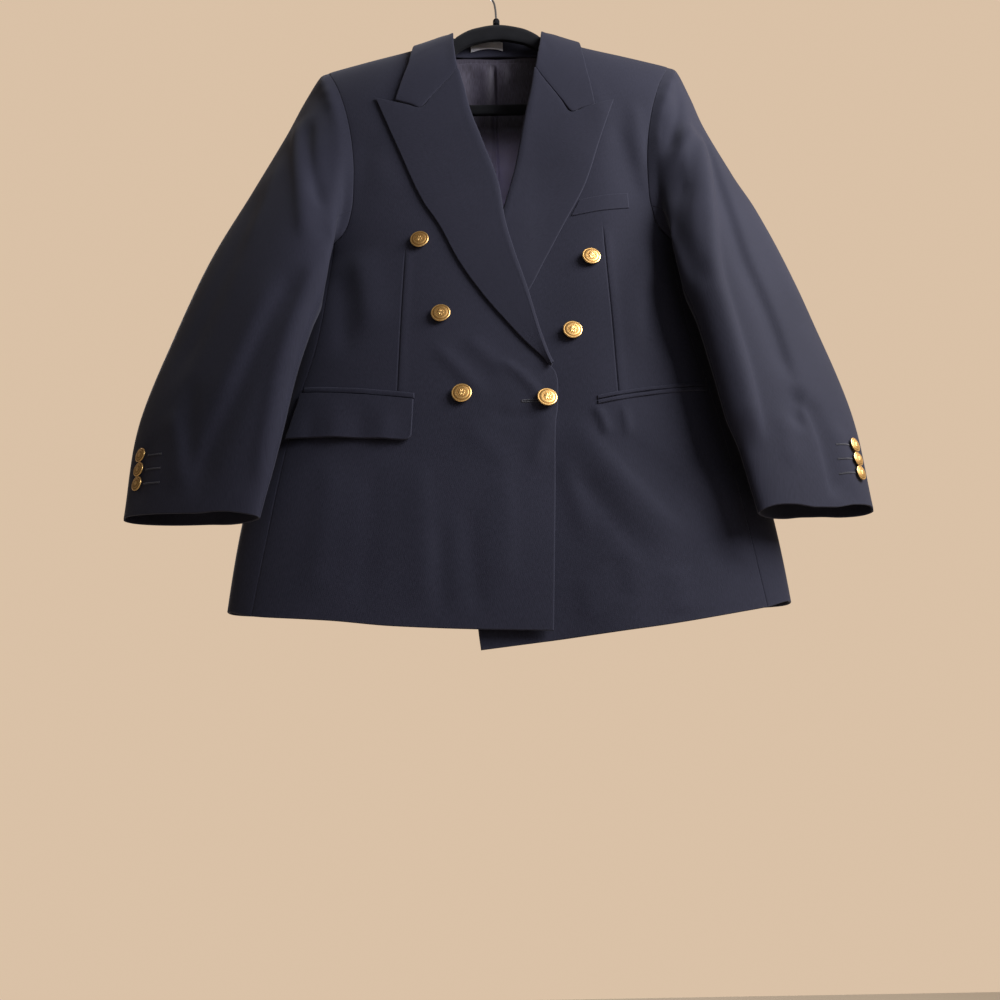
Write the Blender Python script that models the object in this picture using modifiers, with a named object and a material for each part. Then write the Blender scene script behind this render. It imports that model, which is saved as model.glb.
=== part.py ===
"""A double-breasted blazer hung on a slim hanger, cut and closed as in the photograph.

Metres, +Z up. The front faces -Y, the wearer's right is at -X, and the origin is the inner
top of the hook. Cloth is a wall CLOTH thick, its outer face placed first and the inner one
set back along the surface's own normal. Where two pieces meet they stay GAP apart.
"""

import math

import bpy
import numpy as np
from mathutils import Vector

CLOTH = 0.0020
GAP = 0.0003

FRONT_DEPTH = 0.052
BACK_DEPTH = 0.043
SHOULDER_DROP = 0.110  # height over which the shoulder rounds down to the flat of the panels
ROUNDNESS = 2.3

TOP_Z = -0.1840
SHOULDER_X = 0.2140

BUTTON_RADIUS, BUTTON_HEIGHT = 0.0100, 0.0052
CUFF_BUTTON_RADIUS, CUFF_BUTTON_HEIGHT = 0.0073, 0.0042
HANGER_THICKNESS = 0.0050
WIRE_RADIUS = 0.0015
SEAT = 0.0045  # half the flat on top of the hanger, where the hook's collar stands

# Base colour, roughness and metallic value of each material.
LOOKS = {
    "navy_worsted": ((0.012, 0.014, 0.026), 0.80, 0.0),
    "satin_lining": ((0.030, 0.025, 0.042), 0.40, 0.0),
    "woven_label": ((0.020, 0.020, 0.024), 0.75, 0.0),
    "gilt_metal": ((0.720, 0.440, 0.130), 0.28, 1.0),
    "black_velvet": ((0.008, 0.008, 0.009), 0.95, 0.0),
    "plated_wire": ((0.600, 0.600, 0.620), 0.22, 1.0),
}


def curve(*points):
    """A smooth function through a short table, level past its ends."""
    xs, ys = (np.array(column, float) for column in zip(*sorted(points)))
    steps = np.diff(xs)
    slopes = np.diff(ys) / steps
    bend = np.zeros_like(ys)
    bend[0], bend[-1] = slopes[0], slopes[-1]
    for k in range(1, len(xs) - 1):
        if slopes[k - 1] * slopes[k] > 0:
            near, far = 2 * steps[k] + steps[k - 1], steps[k] + 2 * steps[k - 1]
            bend[k] = (near + far) / (near / slopes[k - 1] + far / slopes[k])

    def at(x):
        x = min(max(x, xs[0]), xs[-1])
        k = min(max(int(np.searchsorted(xs, x)) - 1, 0), len(xs) - 2)
        t = (x - xs[k]) / steps[k]
        return float(
            ys[k] * (1 + 2 * t) * (1 - t) ** 2
            + bend[k] * steps[k] * t * (1 - t) ** 2
            + ys[k + 1] * t * t * (3 - 2 * t)
            + bend[k + 1] * steps[k] * t * t * (t - 1)
        )

    return at


def path(*rows):
    """A smooth point along a table of (position, x, y, z) or (position, x, z) rows."""
    columns = list(zip(*rows))
    parts = [curve(*zip(columns[0], column)) for column in columns[1:]]
    return lambda s: np.array([part(s) for part in parts])


def ease(t):
    t = min(max(t, 0.0), 1.0)
    return t * t * (3 - 2 * t)


# Body

ridge = curve(
    (0.0, -0.1250), (0.03, -0.1280), (0.066, -0.1360), (0.0785, -0.1413), (0.101, -0.1505),
    (0.16, -0.1680), (SHOULDER_X, TOP_Z + 0.0005), (0.24, -0.1910),
)
half_width = curve(
    (-0.300, 0.300), (-0.360, 0.275), (-0.410, 0.245), (-0.440, 0.2280), (-0.470, 0.2115),
    (-0.480, 0.2070), (-0.505, 0.2030), (-0.560, 0.2020), (-0.620, 0.2080), (-0.680, 0.2260),
    (-0.730, 0.2470), (-0.775, 0.2635), (-0.870, 0.2680), (-0.930, 0.2690),
)
arm_front = curve(
    (TOP_Z, SHOULDER_X), (-0.215, 0.2035), (-0.250, 0.1905), (-0.295, 0.1776), (-0.335, 0.1700),
    (-0.373, 0.1662), (-0.410, 0.1655), (-0.440, 0.1690), (-0.456, 0.1765), (-0.4625, 0.1860),
)
arm_back = curve(
    (TOP_Z, SHOULDER_X), (-0.215, 0.2065), (-0.260, 0.1970), (-0.320, 0.1880), (-0.380, 0.1830),
    (-0.420, 0.1815), (-0.450, 0.1840), (-0.4625, 0.1900),
)
arm_floor = curve((0.186, -0.4625), (0.198, -0.4680), (0.2115, -0.4700))
seam_front = curve(
    (-0.4625, 0.1860), (-0.500, 0.1890), (-0.560, 0.1930), (-0.600, 0.1985), (-0.645, 0.2095),
    (-0.698, 0.2185), (-0.790, 0.2285), (-0.880, 0.2385),
)
seam_back = curve(
    (-0.4625, 0.1900), (-0.520, 0.1830), (-0.620, 0.1800), (-0.720, 0.1860), (-0.880, 0.2010),
)
back_hem = curve((0.0, -0.8620), (0.150, -0.8640), (0.269, -0.8680))
back_neck = curve((0.0, -0.1345), (0.03, -0.1352), (0.06, -0.1385), (0.0785, -0.1420))


def share(x, z):
    """How deep the section still is at x: 1 on the centre line, 0 at the side."""
    u = min(abs(x) / half_width(z), 1.0)
    return (1 - u**ROUNDNESS) ** (1 / ROUNDNESS)


def rounding(x, z):
    """0 on the shoulder's ridge, 1 from SHOULDER_DROP below it."""
    d = min(max((ridge(abs(x)) - z) / SHOULDER_DROP, 0.0), 1.0)
    return math.sqrt(1 - (1 - d) ** 2)


def depth(x, z, front):
    return (FRONT_DEPTH if front else BACK_DEPTH) * share(x, z) * rounding(x, z)


def level(point):
    """Negative inside the body, 0 on its surface."""
    x, y, z = point
    reach = (FRONT_DEPTH if y < 0 else BACK_DEPTH) * max(share(x, z), 0.02)
    up = max(0.0, z - ridge(abs(x)) + SHOULDER_DROP) / SHOULDER_DROP
    return math.hypot(up, y / reach) - 1


def body_normal(point):
    point = np.array(point, float)
    x, y, z = point
    if ridge(abs(x)) - z < SHOULDER_DROP:
        step = 0.0004
        slope = [
            level(point + step * unit) - level(point - step * unit) for unit in np.eye(3)
        ]
    else:
        width, reach = half_width(z), FRONT_DEPTH if y < 0 else BACK_DEPTH
        slope = [
            math.copysign((min(abs(x) / width, 1)) ** (ROUNDNESS - 1) / width, x),
            math.copysign((abs(y) / reach) ** (ROUNDNESS - 1) / reach, y),
            0.0,
        ]
    slope = np.array(slope)
    return slope / max(np.linalg.norm(slope), 1e-9)


def tuck(x, z):
    """How far the under front is pushed back where the other one laps over it."""
    return 0.0085 * ease((0.120 - x) / 0.085) * ease((-0.270 - z) / 0.120)


def on_front(x, z, out=0.0, under=False):
    """The point at (x, z) on the front, out metres off its outer face."""
    point = np.array([x, -depth(x, z, True), z])
    normal = body_normal(point)
    return point + (out - (tuck(x, z) if under else 0.0)) * normal


def on_back(x, z, out=0.0):
    point = np.array([x, depth(x, z, False), z])
    return point + out * body_normal(point)


def clear_of_body(point, out):
    """The point moved off the body where it is nearer than out to it."""
    for _ in range(12):
        step = 0.0004
        here = level(point)
        slope = np.array(
            [level(point + step * unit) - level(point - step * unit) for unit in np.eye(3)]
        ) / (2 * step)
        size = max(np.linalg.norm(slope), 1e-6)
        away = here / size
        if away >= out - 1e-5:
            break
        point = point + slope / size * (out - away) * 0.8
    return point


# Meshes

def look(name):
    """The named material, made the first time it is asked for."""
    material = bpy.data.materials.get(name)
    if material is None:
        color, roughness, metallic = LOOKS[name]
        material = bpy.data.materials.new(name)
        material.use_nodes = True
        surface = material.node_tree.nodes["Principled BSDF"]
        surface.inputs["Base Color"].default_value = (*color, 1.0)
        surface.inputs["Roughness"].default_value = roughness
        surface.inputs["Metallic"].default_value = metallic
    return material


def place(name, data, material):
    """An object of the blazer, in its collection and under its empty, with its material."""
    thing = bpy.data.objects.new(name, data)
    data.materials.append(look(material))
    bpy.data.collections["double_breasted_blazer"].objects.link(thing)
    thing.parent = bpy.data.objects["hang_point"]
    return thing


def add(name, points, faces, material="navy_worsted"):
    """A named object from points and faces, turned so that its faces point outwards."""
    points = np.array(points, float)
    volume = 0.0
    for face in faces:
        for k in range(1, len(face) - 1):
            a, b, c = points[face[0]], points[face[k]], points[face[k + 1]]
            volume += float(np.dot(a, np.cross(b, c)))
    if volume < 0:
        faces = [tuple(reversed(face)) for face in faces]
    mesh = bpy.data.meshes.new(name)
    mesh.from_pydata([tuple(point) for point in points], [], faces)
    mesh.validate()
    mesh.shade_smooth()
    mesh.set_sharp_from_angle(angle=math.radians(50))
    return place(name, mesh, material)


def wall(name, outer, inner, material="navy_worsted"):
    """A closed wall between two grids of points of the same size."""
    outer, inner = np.array(outer), np.array(inner)
    columns, rows = outer.shape[:2]
    points = np.concatenate([outer.reshape(-1, 3), inner.reshape(-1, 3)])
    half = columns * rows
    faces = []
    for i in range(columns - 1):
        for j in range(rows - 1):
            a, b = i * rows + j, (i + 1) * rows + j
            # Both faces of the wall are split along the same diagonal.
            faces += [(a, b, b + 1), (a, b + 1, a + 1)]
            faces += [(half + b + 1, half + b, half + a), (half + a + 1, half + b + 1, half + a)]
    rim = [i * rows for i in range(columns)]
    rim += [(columns - 1) * rows + j for j in range(1, rows)]
    rim += [i * rows + rows - 1 for i in range(columns - 2, -1, -1)]
    rim += [j for j in range(rows - 2, 0, -1)]
    for k, a in enumerate(rim):
        b = rim[(k + 1) % len(rim)]
        # Edges that face each other across a seam are split alike, outer face then inner face.
        if a < b:
            faces += [(b, a, half + b), (a, half + a, half + b)]
        else:
            faces += [(b, a, half + a), (b, half + a, half + b)]
    return add(name, points, faces, material)


def grid_normals(grid):
    """Unit normals of a grid of points, from its own rows and columns."""
    grid = np.array(grid)
    along, across = np.gradient(grid, axis=0), np.gradient(grid, axis=1)
    normals = np.cross(along, across)
    return normals / np.maximum(np.linalg.norm(normals, axis=2, keepdims=True), 1e-12)


def turned(name, profile, centre, axis, steps, material):
    """A solid of revolution about axis: profile holds (radius, height) rows from the top pole down."""
    mesh = bpy.data.meshes.new(name)
    rows = [(radius, 0.0, height) for radius, height in profile]
    mesh.from_pydata(rows, [(k, k + 1) for k in range(len(rows) - 1)], [])
    thing = place(name, mesh, material)
    thing.location = centre
    thing.rotation_mode = "QUATERNION"
    thing.rotation_quaternion = Vector(axis).to_track_quat("Z", "Y")
    turn = thing.modifiers.new("turn", "SCREW")
    turn.steps = turn.render_steps = steps
    turn.use_merge_vertices = True
    turn.merge_threshold = 0.00001
    return thing


# Fronts

over_roll = curve(
    (-0.2345, -0.0472), (-0.2590, -0.0425), (-0.2900, -0.0377), (-0.3450, -0.0220),
    (-0.4090, -0.0040), (-0.4569, 0.0023), (-0.4936, 0.0106), (-0.5433, 0.0241),
    (-0.5974, 0.0367), (-0.6268, 0.0455), (-0.6381, 0.0506), (-0.6507, 0.0528),
    (-0.6770, 0.0517), (-0.6960, 0.0489), (-0.7764, 0.0450), (-0.8981, 0.0386),
)
under_roll = curve(
    (-0.2345, 0.0425), (-0.2700, 0.0385), (-0.3155, 0.0302), (-0.3735, 0.0196),
    (-0.4450, 0.0015), (-0.5020, -0.0135), (-0.5770, -0.0330), (-0.6250, -0.0455),
    (-0.6380, -0.0475), (-0.7000, -0.0440), (-0.8000, -0.0360), (-0.8970, -0.0284),
    (-0.9134, -0.0262),
)
neck_x = curve(
    (-0.1413, 0.0785), (-0.1500, 0.0750), (-0.1650, 0.0702), (-0.1800, 0.0655), (-0.2000, 0.0600),
    (-0.2200, 0.0564), (-0.2345, 0.0522),
)
over_hem = curve(
    (-0.2690, -0.8680), (-0.2242, -0.8740), (-0.1885, -0.8776), (-0.1603, -0.8809),
    (-0.1062, -0.8885), (-0.0293, -0.8943), (0.0386, -0.8981),
)
under_hem = curve(
    (-0.0262, -0.9134), (0.0552, -0.9042), (0.1325, -0.8959), (0.2062, -0.8846),
    (0.2457, -0.8768), (0.2690, -0.8690),
)
ROLL_TOP = -0.2345
LAPEL_FOOT = -0.6250


def seam_rows():
    """Heights of the rows of points down the side seams, the same for each piece that meets there."""
    return [-0.4640 - 0.4040 * k / 12 for k in range(12)]


def falls_at(edge, top, hem, side=1):
    """Each row's share of the way from shoulder to hem, taken where it meets the outer edge."""
    rows = [0, 0.0020, 0.0075, 0.017, 0.032]
    heights = [
        -0.228, -0.252, -0.278, -0.305, -0.332, -0.358, -0.383, -0.407, -0.428, -0.444, -0.4550,
    ]
    for z in heights + seam_rows():
        x = edge(z)
        rows.append((top(x) - z) / (top(x) - hem(side * x)))
    return rows + [1]


def inner_edge(z, under):
    """The inner edge of a front: its neckline, beside the lapel's roll, then the closing edge."""
    side = 1 if under else -1
    if z > ROLL_TOP:
        return side * neck_x(z)
    roll = under_roll(z) if under else over_roll(z)
    return roll + side * 0.0038 * (1 - ease((LAPEL_FOOT - z) / 0.016))


def outer_edge(z):
    return arm_front(z) if z > -0.4625 else seam_front(z)


def front(name, under):
    side = 1 if under else -1
    hem = under_hem if under else over_hem
    falls = falls_at(outer_edge, ridge, hem, side)
    outer, inner = [], []
    for i in range(11):
        s = i / 10
        column, back = [], []
        for fall in falls:
            z = ridge(0.15) - 0.70 * fall
            for _ in range(30):
                start = inner_edge(z, under)
                end = side * (outer_edge(z) - GAP / 2)
                x = start + (end - start) * s
                z = ridge(abs(x)) * (1 - fall) + hem(x) * fall
            point = on_front(x, z, 0, under)
            normal = body_normal(np.array([x, -depth(x, z, True), z]))
            point[1] = min(point[1], -GAP / 2)
            if fall == 0:
                normal = np.array([0.0, 0.0, 1.0])
            column.append(point)
            back.append(point - CLOTH * normal)
        outer.append(column)
        inner.append(back)
    return wall(name, outer, inner)


def back_panel(name, side):
    falls = falls_at(lambda z: arm_back(z) if z > -0.4625 else seam_back(z), ridge, back_hem)
    outer, inner = [], []
    for i in range(8):
        s = i / 7
        column, back = [], []
        for fall in falls:
            z = -0.16 - 0.70 * fall
            for _ in range(30):
                end = (arm_back(z) if z > -0.4625 else seam_back(z)) - GAP / 2
                x = GAP / 2 + (end - GAP / 2) * s
                top = back_neck(x) if x < 0.0785 else ridge(x)
                z = top * (1 - fall) + back_hem(x) * fall
            point = on_back(x, z)
            normal = body_normal(point)
            point[1] = max(point[1], GAP / 2)
            if fall == 0 and x >= 0.0785:
                normal = np.array([0.0, 0.0, 1.0])
            if i == 0:
                normal[0] = 0
            inside = point - CLOTH * normal
            inside[1] = max(inside[1], GAP / 2)
            column.append(point * [side, 1, 1])
            back.append(inside * [side, 1, 1])
        outer.append(column)
        inner.append(back)
    return wall(name, outer, inner)


def side_panel(name, side):
    hem = over_hem if side < 0 else under_hem
    outer, inner = [], []
    columns, heights = 9, seam_rows()
    shares = [0] + [(z - heights[0]) / (-0.868 - heights[0]) for z in heights[1:]] + [1]
    for i in range(columns + 1):
        s = i / columns
        column, back = [], []
        for t in shares:
            z = -0.4625 - 0.42 * t
            for _ in range(25):
                wide = half_width(z)
                first = math.acos(min((seam_front(z) + GAP / 2) / wide, 1) ** (ROUNDNESS / 2))
                last = math.acos(min((seam_back(z) + GAP / 2) / wide, 1) ** (ROUNDNESS / 2))
                turn = first - (first + last) * s
                x = wide * math.cos(turn) ** (2 / ROUNDNESS)
                foot = hem(side * x) if turn > 0 else back_hem(x)
                foot += (back_hem(x) - foot) * ease(1 - turn / first) if turn > 0 else 0
                top = arm_floor(x) - 2 * GAP - 0.0016 * ease((x - 0.190) / 0.018)
                z = top * (1 - t) + foot * t
                if 0 < t < 1:
                    z = heights[shares.index(t)]
            reach = FRONT_DEPTH if turn > 0 else BACK_DEPTH
            y = -math.copysign(reach * abs(math.sin(turn)) ** (2 / ROUNDNESS), turn)
            point = np.array([x, y, z])
            normal = body_normal(point)
            column.append(point * [side, 1, 1])
            back.append((point - CLOTH * normal) * [side, 1, 1])
        outer.append(column)
        inner.append(back)
    return wall(name, outer, inner)


# Lapels

over_lapel = path(
    (0.0, -0.1445, -0.2713), (0.16, -0.1160, -0.3480), (0.33, -0.0850, -0.4270),
    (0.41, -0.0686, -0.4560), (0.53, -0.0458, -0.5068), (0.66, -0.0196, -0.5510),
    (0.76, 0.0015, -0.5802), (0.87, 0.0223, -0.6070), (0.94, 0.0359, -0.6218),
    (1.0, 0.0493, -0.6365),
)
under_lapel = path(
    (0.0, 0.1335, -0.2808), (0.16, 0.1139, -0.3400), (0.33, 0.0933, -0.4040),
    (0.46, 0.0665, -0.4583), (0.58, 0.0444, -0.5033), (0.69, 0.0248, -0.5433),
    (0.78, 0.0040, -0.5700), (0.88, -0.0180, -0.5970), (0.95, -0.0345, -0.6140),
    (1.0, -0.0450, -0.6260),
)
OVER_NOTCH, UNDER_NOTCH = np.array([-0.0901, -0.2918]), np.array([0.0818, -0.3016])
# Section of the roll: metres outwards from the roll line, metres off the front's face.
ROLL = [
    (0.0030, -0.0020), (0.0, -0.0020), (-0.0024, -0.0008), (-0.0033, 0.0015), (-0.0020, 0.0040),
    (0.0012, 0.0050),
]
# Section of the leaf: share of the way to its edge, metres off the front's face.
LEAF = [
    (0.12, 0.0050), (0.28, 0.0047), (0.42, 0.0044), (0.556, 0.0041), (0.70, 0.0037),
    (0.85, 0.0033), (1.0, 0.0028),
]


def lapel(name, under):
    roll = under_roll if under else over_roll
    edge = under_lapel if under else over_lapel
    notch = UNDER_NOTCH if under else OVER_NOTCH
    grid = []
    stations = [
        0, 0.05, 0.11, 0.18, 0.26, 0.35, 0.44, 0.53, 0.62, 0.70, 0.78, 0.85, 0.91, 0.95, 0.975,
    ]
    top = np.array([roll(ROLL_TOP - 2 * GAP), ROLL_TOP - 2 * GAP])
    tip = edge(0.0)
    for t in stations:
        z = ROLL_TOP - 2 * GAP + (-0.6365 - ROLL_TOP) * t
        start = np.array([roll(z), z])
        end = edge(t)
        away = (end - start) / np.linalg.norm(end - start)
        row = []
        for out, off in ROLL:
            x, zz = start + away * out
            row.append(on_front(x, zz, off, under))
        for r, off in LEAF:
            flat = start + (end - start) * max(r, 0.0020 / np.linalg.norm(end - start) + r * 0.8)
            if r < 0.556:
                bent = top + (notch - [0, 2 * GAP] - top) * r / 0.556
            else:
                bent = notch - [0, 2 * GAP] + (tip - notch) * (r - 0.556) / 0.444
            kink = bent - (top + (tip - top) * r)
            x, zz = (start + (end - start) * r if t < 0.9 else flat) + kink * (1 - ease(t / 0.34))
            row.append(on_front(x, zz, off, under))
        grid.append(row)
    grid = np.array(grid)
    normals = grid_normals(grid)
    if normals[4, -3, 1] > 0:
        normals = -normals
    normals[0, :, 2] *= 0.15
    inner = grid - CLOTH * normals / np.linalg.norm(normals, axis=2, keepdims=True)
    return wall(name, grid, inner)


# Collar

fold = path(
    (0.0, 0.0, 0.0120, -0.0950), (0.15, 0.0300, 0.0110, -0.0990), (0.28, 0.0480, 0.0075, -0.1060),
    (0.38, 0.0575, 0.0, -0.1135), (0.46, 0.0570, -0.0110, -0.1225), (0.54, 0.0550, -0.0240, -0.1380),
    (0.64, 0.0537, -0.0400, -0.1570), (0.74, 0.0530, -0.0487, -0.1798),
    (0.84, 0.0512, -0.0535, -0.2020), (0.92, 0.0497, -0.0555, -0.2185), (1.0, 0.0475, -0.0562, -0.2345),
)
base = path(
    (0.0, 0.0, 0.0150, -0.1310), (0.15, 0.0300, 0.0145, -0.1325), (0.28, 0.0550, 0.0100, -0.1365),
    (0.38, 0.0735, 0.0, -0.1405), (0.46, 0.0715, -0.0120, -0.1470), (0.54, 0.0680, -0.0220, -0.1570),
    (0.64, 0.0635, -0.0320, -0.1700), (0.74, 0.0590, -0.0400, -0.1870),
    (0.84, 0.0555, -0.0450, -0.2060), (0.92, 0.0525, -0.0480, -0.2210), (1.0, 0.0500, -0.0490, -0.2345),
)
COLLAR_FRONT = {
    -1: [
        (0.54, 0.1030, -0.1660), (0.64, 0.1045, -0.1900), (0.74, 0.1065, -0.2150),
        (0.87, 0.1140, -0.2500), (1.0, 0.1204, -0.2788),
    ],
    1: [
        (0.54, 0.1000, -0.1680), (0.64, 0.1010, -0.1960), (0.74, 0.1028, -0.2240),
        (0.87, 0.1075, -0.2620), (1.0, 0.1105, -0.2909),
    ],
}
COLLAR_BACK = [
    (0.0, 0.0, -0.1440), (0.15, 0.0330, -0.1465), (0.28, 0.0660, -0.1520), (0.38, 0.0900, -0.1580),
]


def collar(name):
    columns = [
        -1, -0.96, -0.91, -0.85, -0.79, -0.72, -0.65, -0.58, -0.52, -0.46, -0.41, -0.36, -0.29,
        -0.21, -0.11,
    ]
    columns = columns + [0] + [-s for s in reversed(columns)]
    rim = {}
    for side in (-1, 1):
        rows = []
        for s, x, z in COLLAR_BACK:
            rows.append((s, *on_back(x, z, 0.0046)))
        rows.append((0.46, 0.1005, 0.0, ridge(0.1005) + 0.0050))
        for s, x, z in COLLAR_FRONT[side]:
            rows.append((s, *on_front(x, z, 0.0046)))
        rim[side] = path(*rows)
    grid = []
    for sigma in columns:
        side, s = (1 if sigma > 0 else -1), abs(sigma)
        shift = np.array([-0.0048 * ease((s - 0.5) / 0.5) if side > 0 else 0.0, 0, 0])
        low, high, edge = base(s) + shift * 0.9, fold(s) + shift, rim[side](s)
        # The roll's inner side faces the neck: the section turns from rising to falling over it.
        rise = (high - low) / np.linalg.norm(high - low)
        drop = (edge - high) / np.linalg.norm(edge - high)
        row = [low, low + (high - low) * 0.35, low + (high - low) * 0.72]
        row.append(high - rise * 0.0016)
        row.append(high + drop * 0.0018)
        notch = (UNDER_NOTCH * [1, 1] if side > 0 else OVER_NOTCH * [-1, 1])
        meet = on_front(notch[0], notch[1], 0.0044)
        for r in (0.14, 0.32, 0.5, 0.62, 0.78, 1.0):
            if r <= 0.62:
                bent = high + (meet - high) * r / 0.62
            else:
                bent = meet + (edge - meet) * (r - 0.62) / 0.38
            ends = ease((s - 0.70) / 0.30)
            point = (high + (edge - high) * r) * (1 - ends) + bent * ends
            if s > 0.30 or r > 0.5:
                point = clear_of_body(point, 0.0046)
            row.append(point)
        if s == 1:
            row = [point + np.array([0, 0, GAP]) for point in row]
        grid.append([point * np.array([side, 1, 1]) for point in row])
    grid = np.array(grid)
    normals = grid_normals(grid)
    if normals[15, -2, 1] < 0:
        normals = -normals
    inner = grid - CLOTH * normals
    return wall(name, grid, inner)


# Sleeves

def armhole(turn):
    """A point of the armhole: turn 0 at the shoulder, pi at the underarm through the front."""
    turn = turn % (2 * math.pi)
    front = turn <= math.pi
    share_down = turn / math.pi if front else 2 - turn / math.pi
    edge = arm_front if front else arm_back
    line = [(edge(z), z) for z in np.linspace(TOP_Z, -0.4625, 40)]
    line += [(x, arm_floor(x)) for x in np.linspace(line[-1][0], 0.2115, 12)[1:]]
    line = np.array(line)
    run = np.concatenate([[0], np.cumsum(np.linalg.norm(np.diff(line, axis=0), axis=1))])
    at = share_down * run[-1]
    x, z = np.interp(at, run, line[:, 0]), np.interp(at, run, line[:, 1])
    return on_front(x, z) if front else on_back(x, z)


# Rings of the sleeve down its length: share of the way down, outer point, inner point, then how far
# the ring swells to the front, to the back, and at the corner under the front of the armhole.
RINGS = [
    (0.16, (0.2420, 0.002, -0.2260), (0.2215, -0.012, -0.4900),
     (-0.032, -0.050, -0.010), (-0.014, 0.046, -0.006), (-0.026, -0.016, -0.006)),
    (0.30, (0.2600, 0.002, -0.2800), (0.2080, -0.034, -0.5180),
     (-0.021, -0.044, -0.006), (-0.004, 0.046, 0.0), (-0.021, -0.005, 0.0)),
    (0.46, (0.2930, 0.000, -0.3700), (0.1895, -0.050, -0.5500),
     (-0.014, -0.040, 0.0), (0.0, 0.042, 0.0), (-0.008, 0.0, 0.0)),
    (0.60, (0.3270, -0.002, -0.4640), (0.1930, -0.057, -0.5900),
     (-0.012, -0.036, 0.0), (0.006, 0.038, 0.0), (-0.002, 0.0, 0.0)),
    (0.72, (0.3520, -0.004, -0.5600), (0.2000, -0.061, -0.6430),
     (-0.012, -0.032, 0.0), (0.010, 0.033, 0.0), (0.0, 0.0, 0.0)),
    (0.85, (0.3730, -0.008, -0.6700), (0.2105, -0.064, -0.7120),
     (-0.010, -0.027, 0.0), (0.010, 0.027, 0.0), (0.0, 0.0, 0.0)),
    (1.0, (0.3770, -0.014, -0.7720), (0.2270, -0.062, -0.7890),
     (-0.007, -0.021, 0.0), (0.007, 0.021, 0.0), (0.0, 0.0, 0.0)),
]
# As it hangs, the right sleeve swings out a little and the left one in.
SWING = {-1: 0.010, 1: -0.006}
SWING_SHARE = {0.16: 0.0, 0.30: 0.3, 0.46: 0.6, 0.60: 0.8, 0.72: 1.0, 0.85: 1.0, 1.0: 1.0}


def rings_of(side):
    """The sleeve's rings with its outer line swung out by SWING."""
    return [
        (down, (top[0] + SWING[side] * SWING_SHARE[down], top[1], top[2]), *rest)
        for down, top, *rest in RINGS
    ]


def sleeve_lines(side):
    """A function of (down, turn) on the sleeve's outer face, in the mirrored right-hand frame."""
    rings = rings_of(side)

    def ring_point(ring, turn):
        _, top, low, ahead, behind, corner = ring
        top, low = np.array(top), np.array(low)
        middle, half = (top + low) / 2, (top - low) / 2
        swing = np.array(ahead) * max(math.sin(turn), 0)
        swing = swing + np.array(behind) * max(-math.sin(turn), 0)
        near = math.exp(-(((turn % (2 * math.pi)) - 2.50) / 0.42) ** 2)
        return middle + half * math.cos(turn) + swing + near * np.array(corner)

    def at(down, turn):
        start = armhole(turn) + np.array([0.0009, 0, 0])
        c, s = math.cos(turn), math.sin(turn)
        up, low = max(c, 0), max(-c, 0)
        lead = up * np.array([1.0, 0, -0.22]) + low * low * np.array([0.75, -0.18, -0.60])
        lead = lead + abs(s) * np.array([0.85, -0.35 * s, -0.25])
        lead = lead / np.linalg.norm(lead)
        rows = [(0.0, *start), (0.05, *(start + 0.012 * lead))]
        rows += [(ring[0], *ring_point(ring, turn)) for ring in rings]
        rows = np.array(rows)
        k = min(int(np.searchsorted(rows[:, 0], down, side="right")) - 1, len(rows) - 2)
        k = max(k, 0)
        before, after = max(k - 1, 0), min(k + 2, len(rows) - 1)
        span = rows[k + 1, 0] - rows[k, 0]
        t = (down - rows[k, 0]) / span
        first = (rows[k + 1, 1:] - rows[before, 1:]) / (rows[k + 1, 0] - rows[before, 0]) * span
        last = (rows[after, 1:] - rows[k, 1:]) / (rows[after, 0] - rows[k, 0]) * span
        return (
            rows[k, 1:] * (1 + 2 * t) * (1 - t) ** 2 + first * t * (1 - t) ** 2
            + rows[k + 1, 1:] * t * t * (3 - 2 * t) + last * t * t * (t - 1)
        )

    return at


hind_seam = curve((0.0, -1.05), (0.3, -0.85), (0.65, -0.25), (1.0, 0.16))
fore_seam = curve((0.0, 2.45), (0.4, 2.75), (1.0, 2.98))
DOWN = [
    0, 0.025, 0.06, 0.11, 0.17, 0.24, 0.31, 0.38, 0.46, 0.54, 0.62, 0.70, 0.78, 0.86, 0.93, 1.0,
]


# Columns of each sleeve piece across its width, closer together round the underarm.
TOP_COLUMNS = [0, 0.10, 0.18, 0.24, 0.28, 0.32, 0.38, 0.46, 0.56, 0.67, 0.78, 0.87, 0.94, 1]
UNDER_COLUMNS = [0, 0.09, 0.144, 0.187, 0.226, 0.266, 0.305, 0.36, 0.43, 0.54, 0.68, 0.84, 1]


def sleeve(name, side, under):
    at = sleeve_lines(side)
    grid, ahead = [], []
    columns = len(UNDER_COLUMNS if under else TOP_COLUMNS) - 1
    for s in UNDER_COLUMNS if under else TOP_COLUMNS:
        column, other = [], []
        for down in DOWN:
            first, last = hind_seam(down) + 0.004, fore_seam(down) - 0.004
            if under:
                first, last = last + 0.008, first - 0.008 + 2 * math.pi
            turn = first + (last - first) * s
            column.append(at(down, turn))
            step = 0.002
            along = at(min(down + step, 1), turn) - at(max(down - step, 0), turn)
            across = at(down, turn + 0.01) - at(down, turn - 0.01)
            normal = np.cross(across, along)
            normal = normal / np.linalg.norm(normal)
            if down == 0:
                across = across / np.linalg.norm(across)
                middle = np.array([column[-1][0], 0, -0.327]) - column[-1]
                middle[0] = 0.15 * np.linalg.norm(middle)
                middle -= across * np.dot(middle, across)
                normal = -middle / np.linalg.norm(middle)
            other.append(normal)
        grid.append(column)
        ahead.append(other)
    grid, ahead = np.array(grid), np.array(ahead)
    if ahead[columns // 2, 8, 1] * (1 if under else -1) < 0:
        ahead[:, 1:] = -ahead[:, 1:]
    inner = grid - CLOTH * ahead
    flip = np.array([side, 1, 1])
    return wall(name, grid * flip, inner * flip)


# Pockets, label, lining

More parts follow.
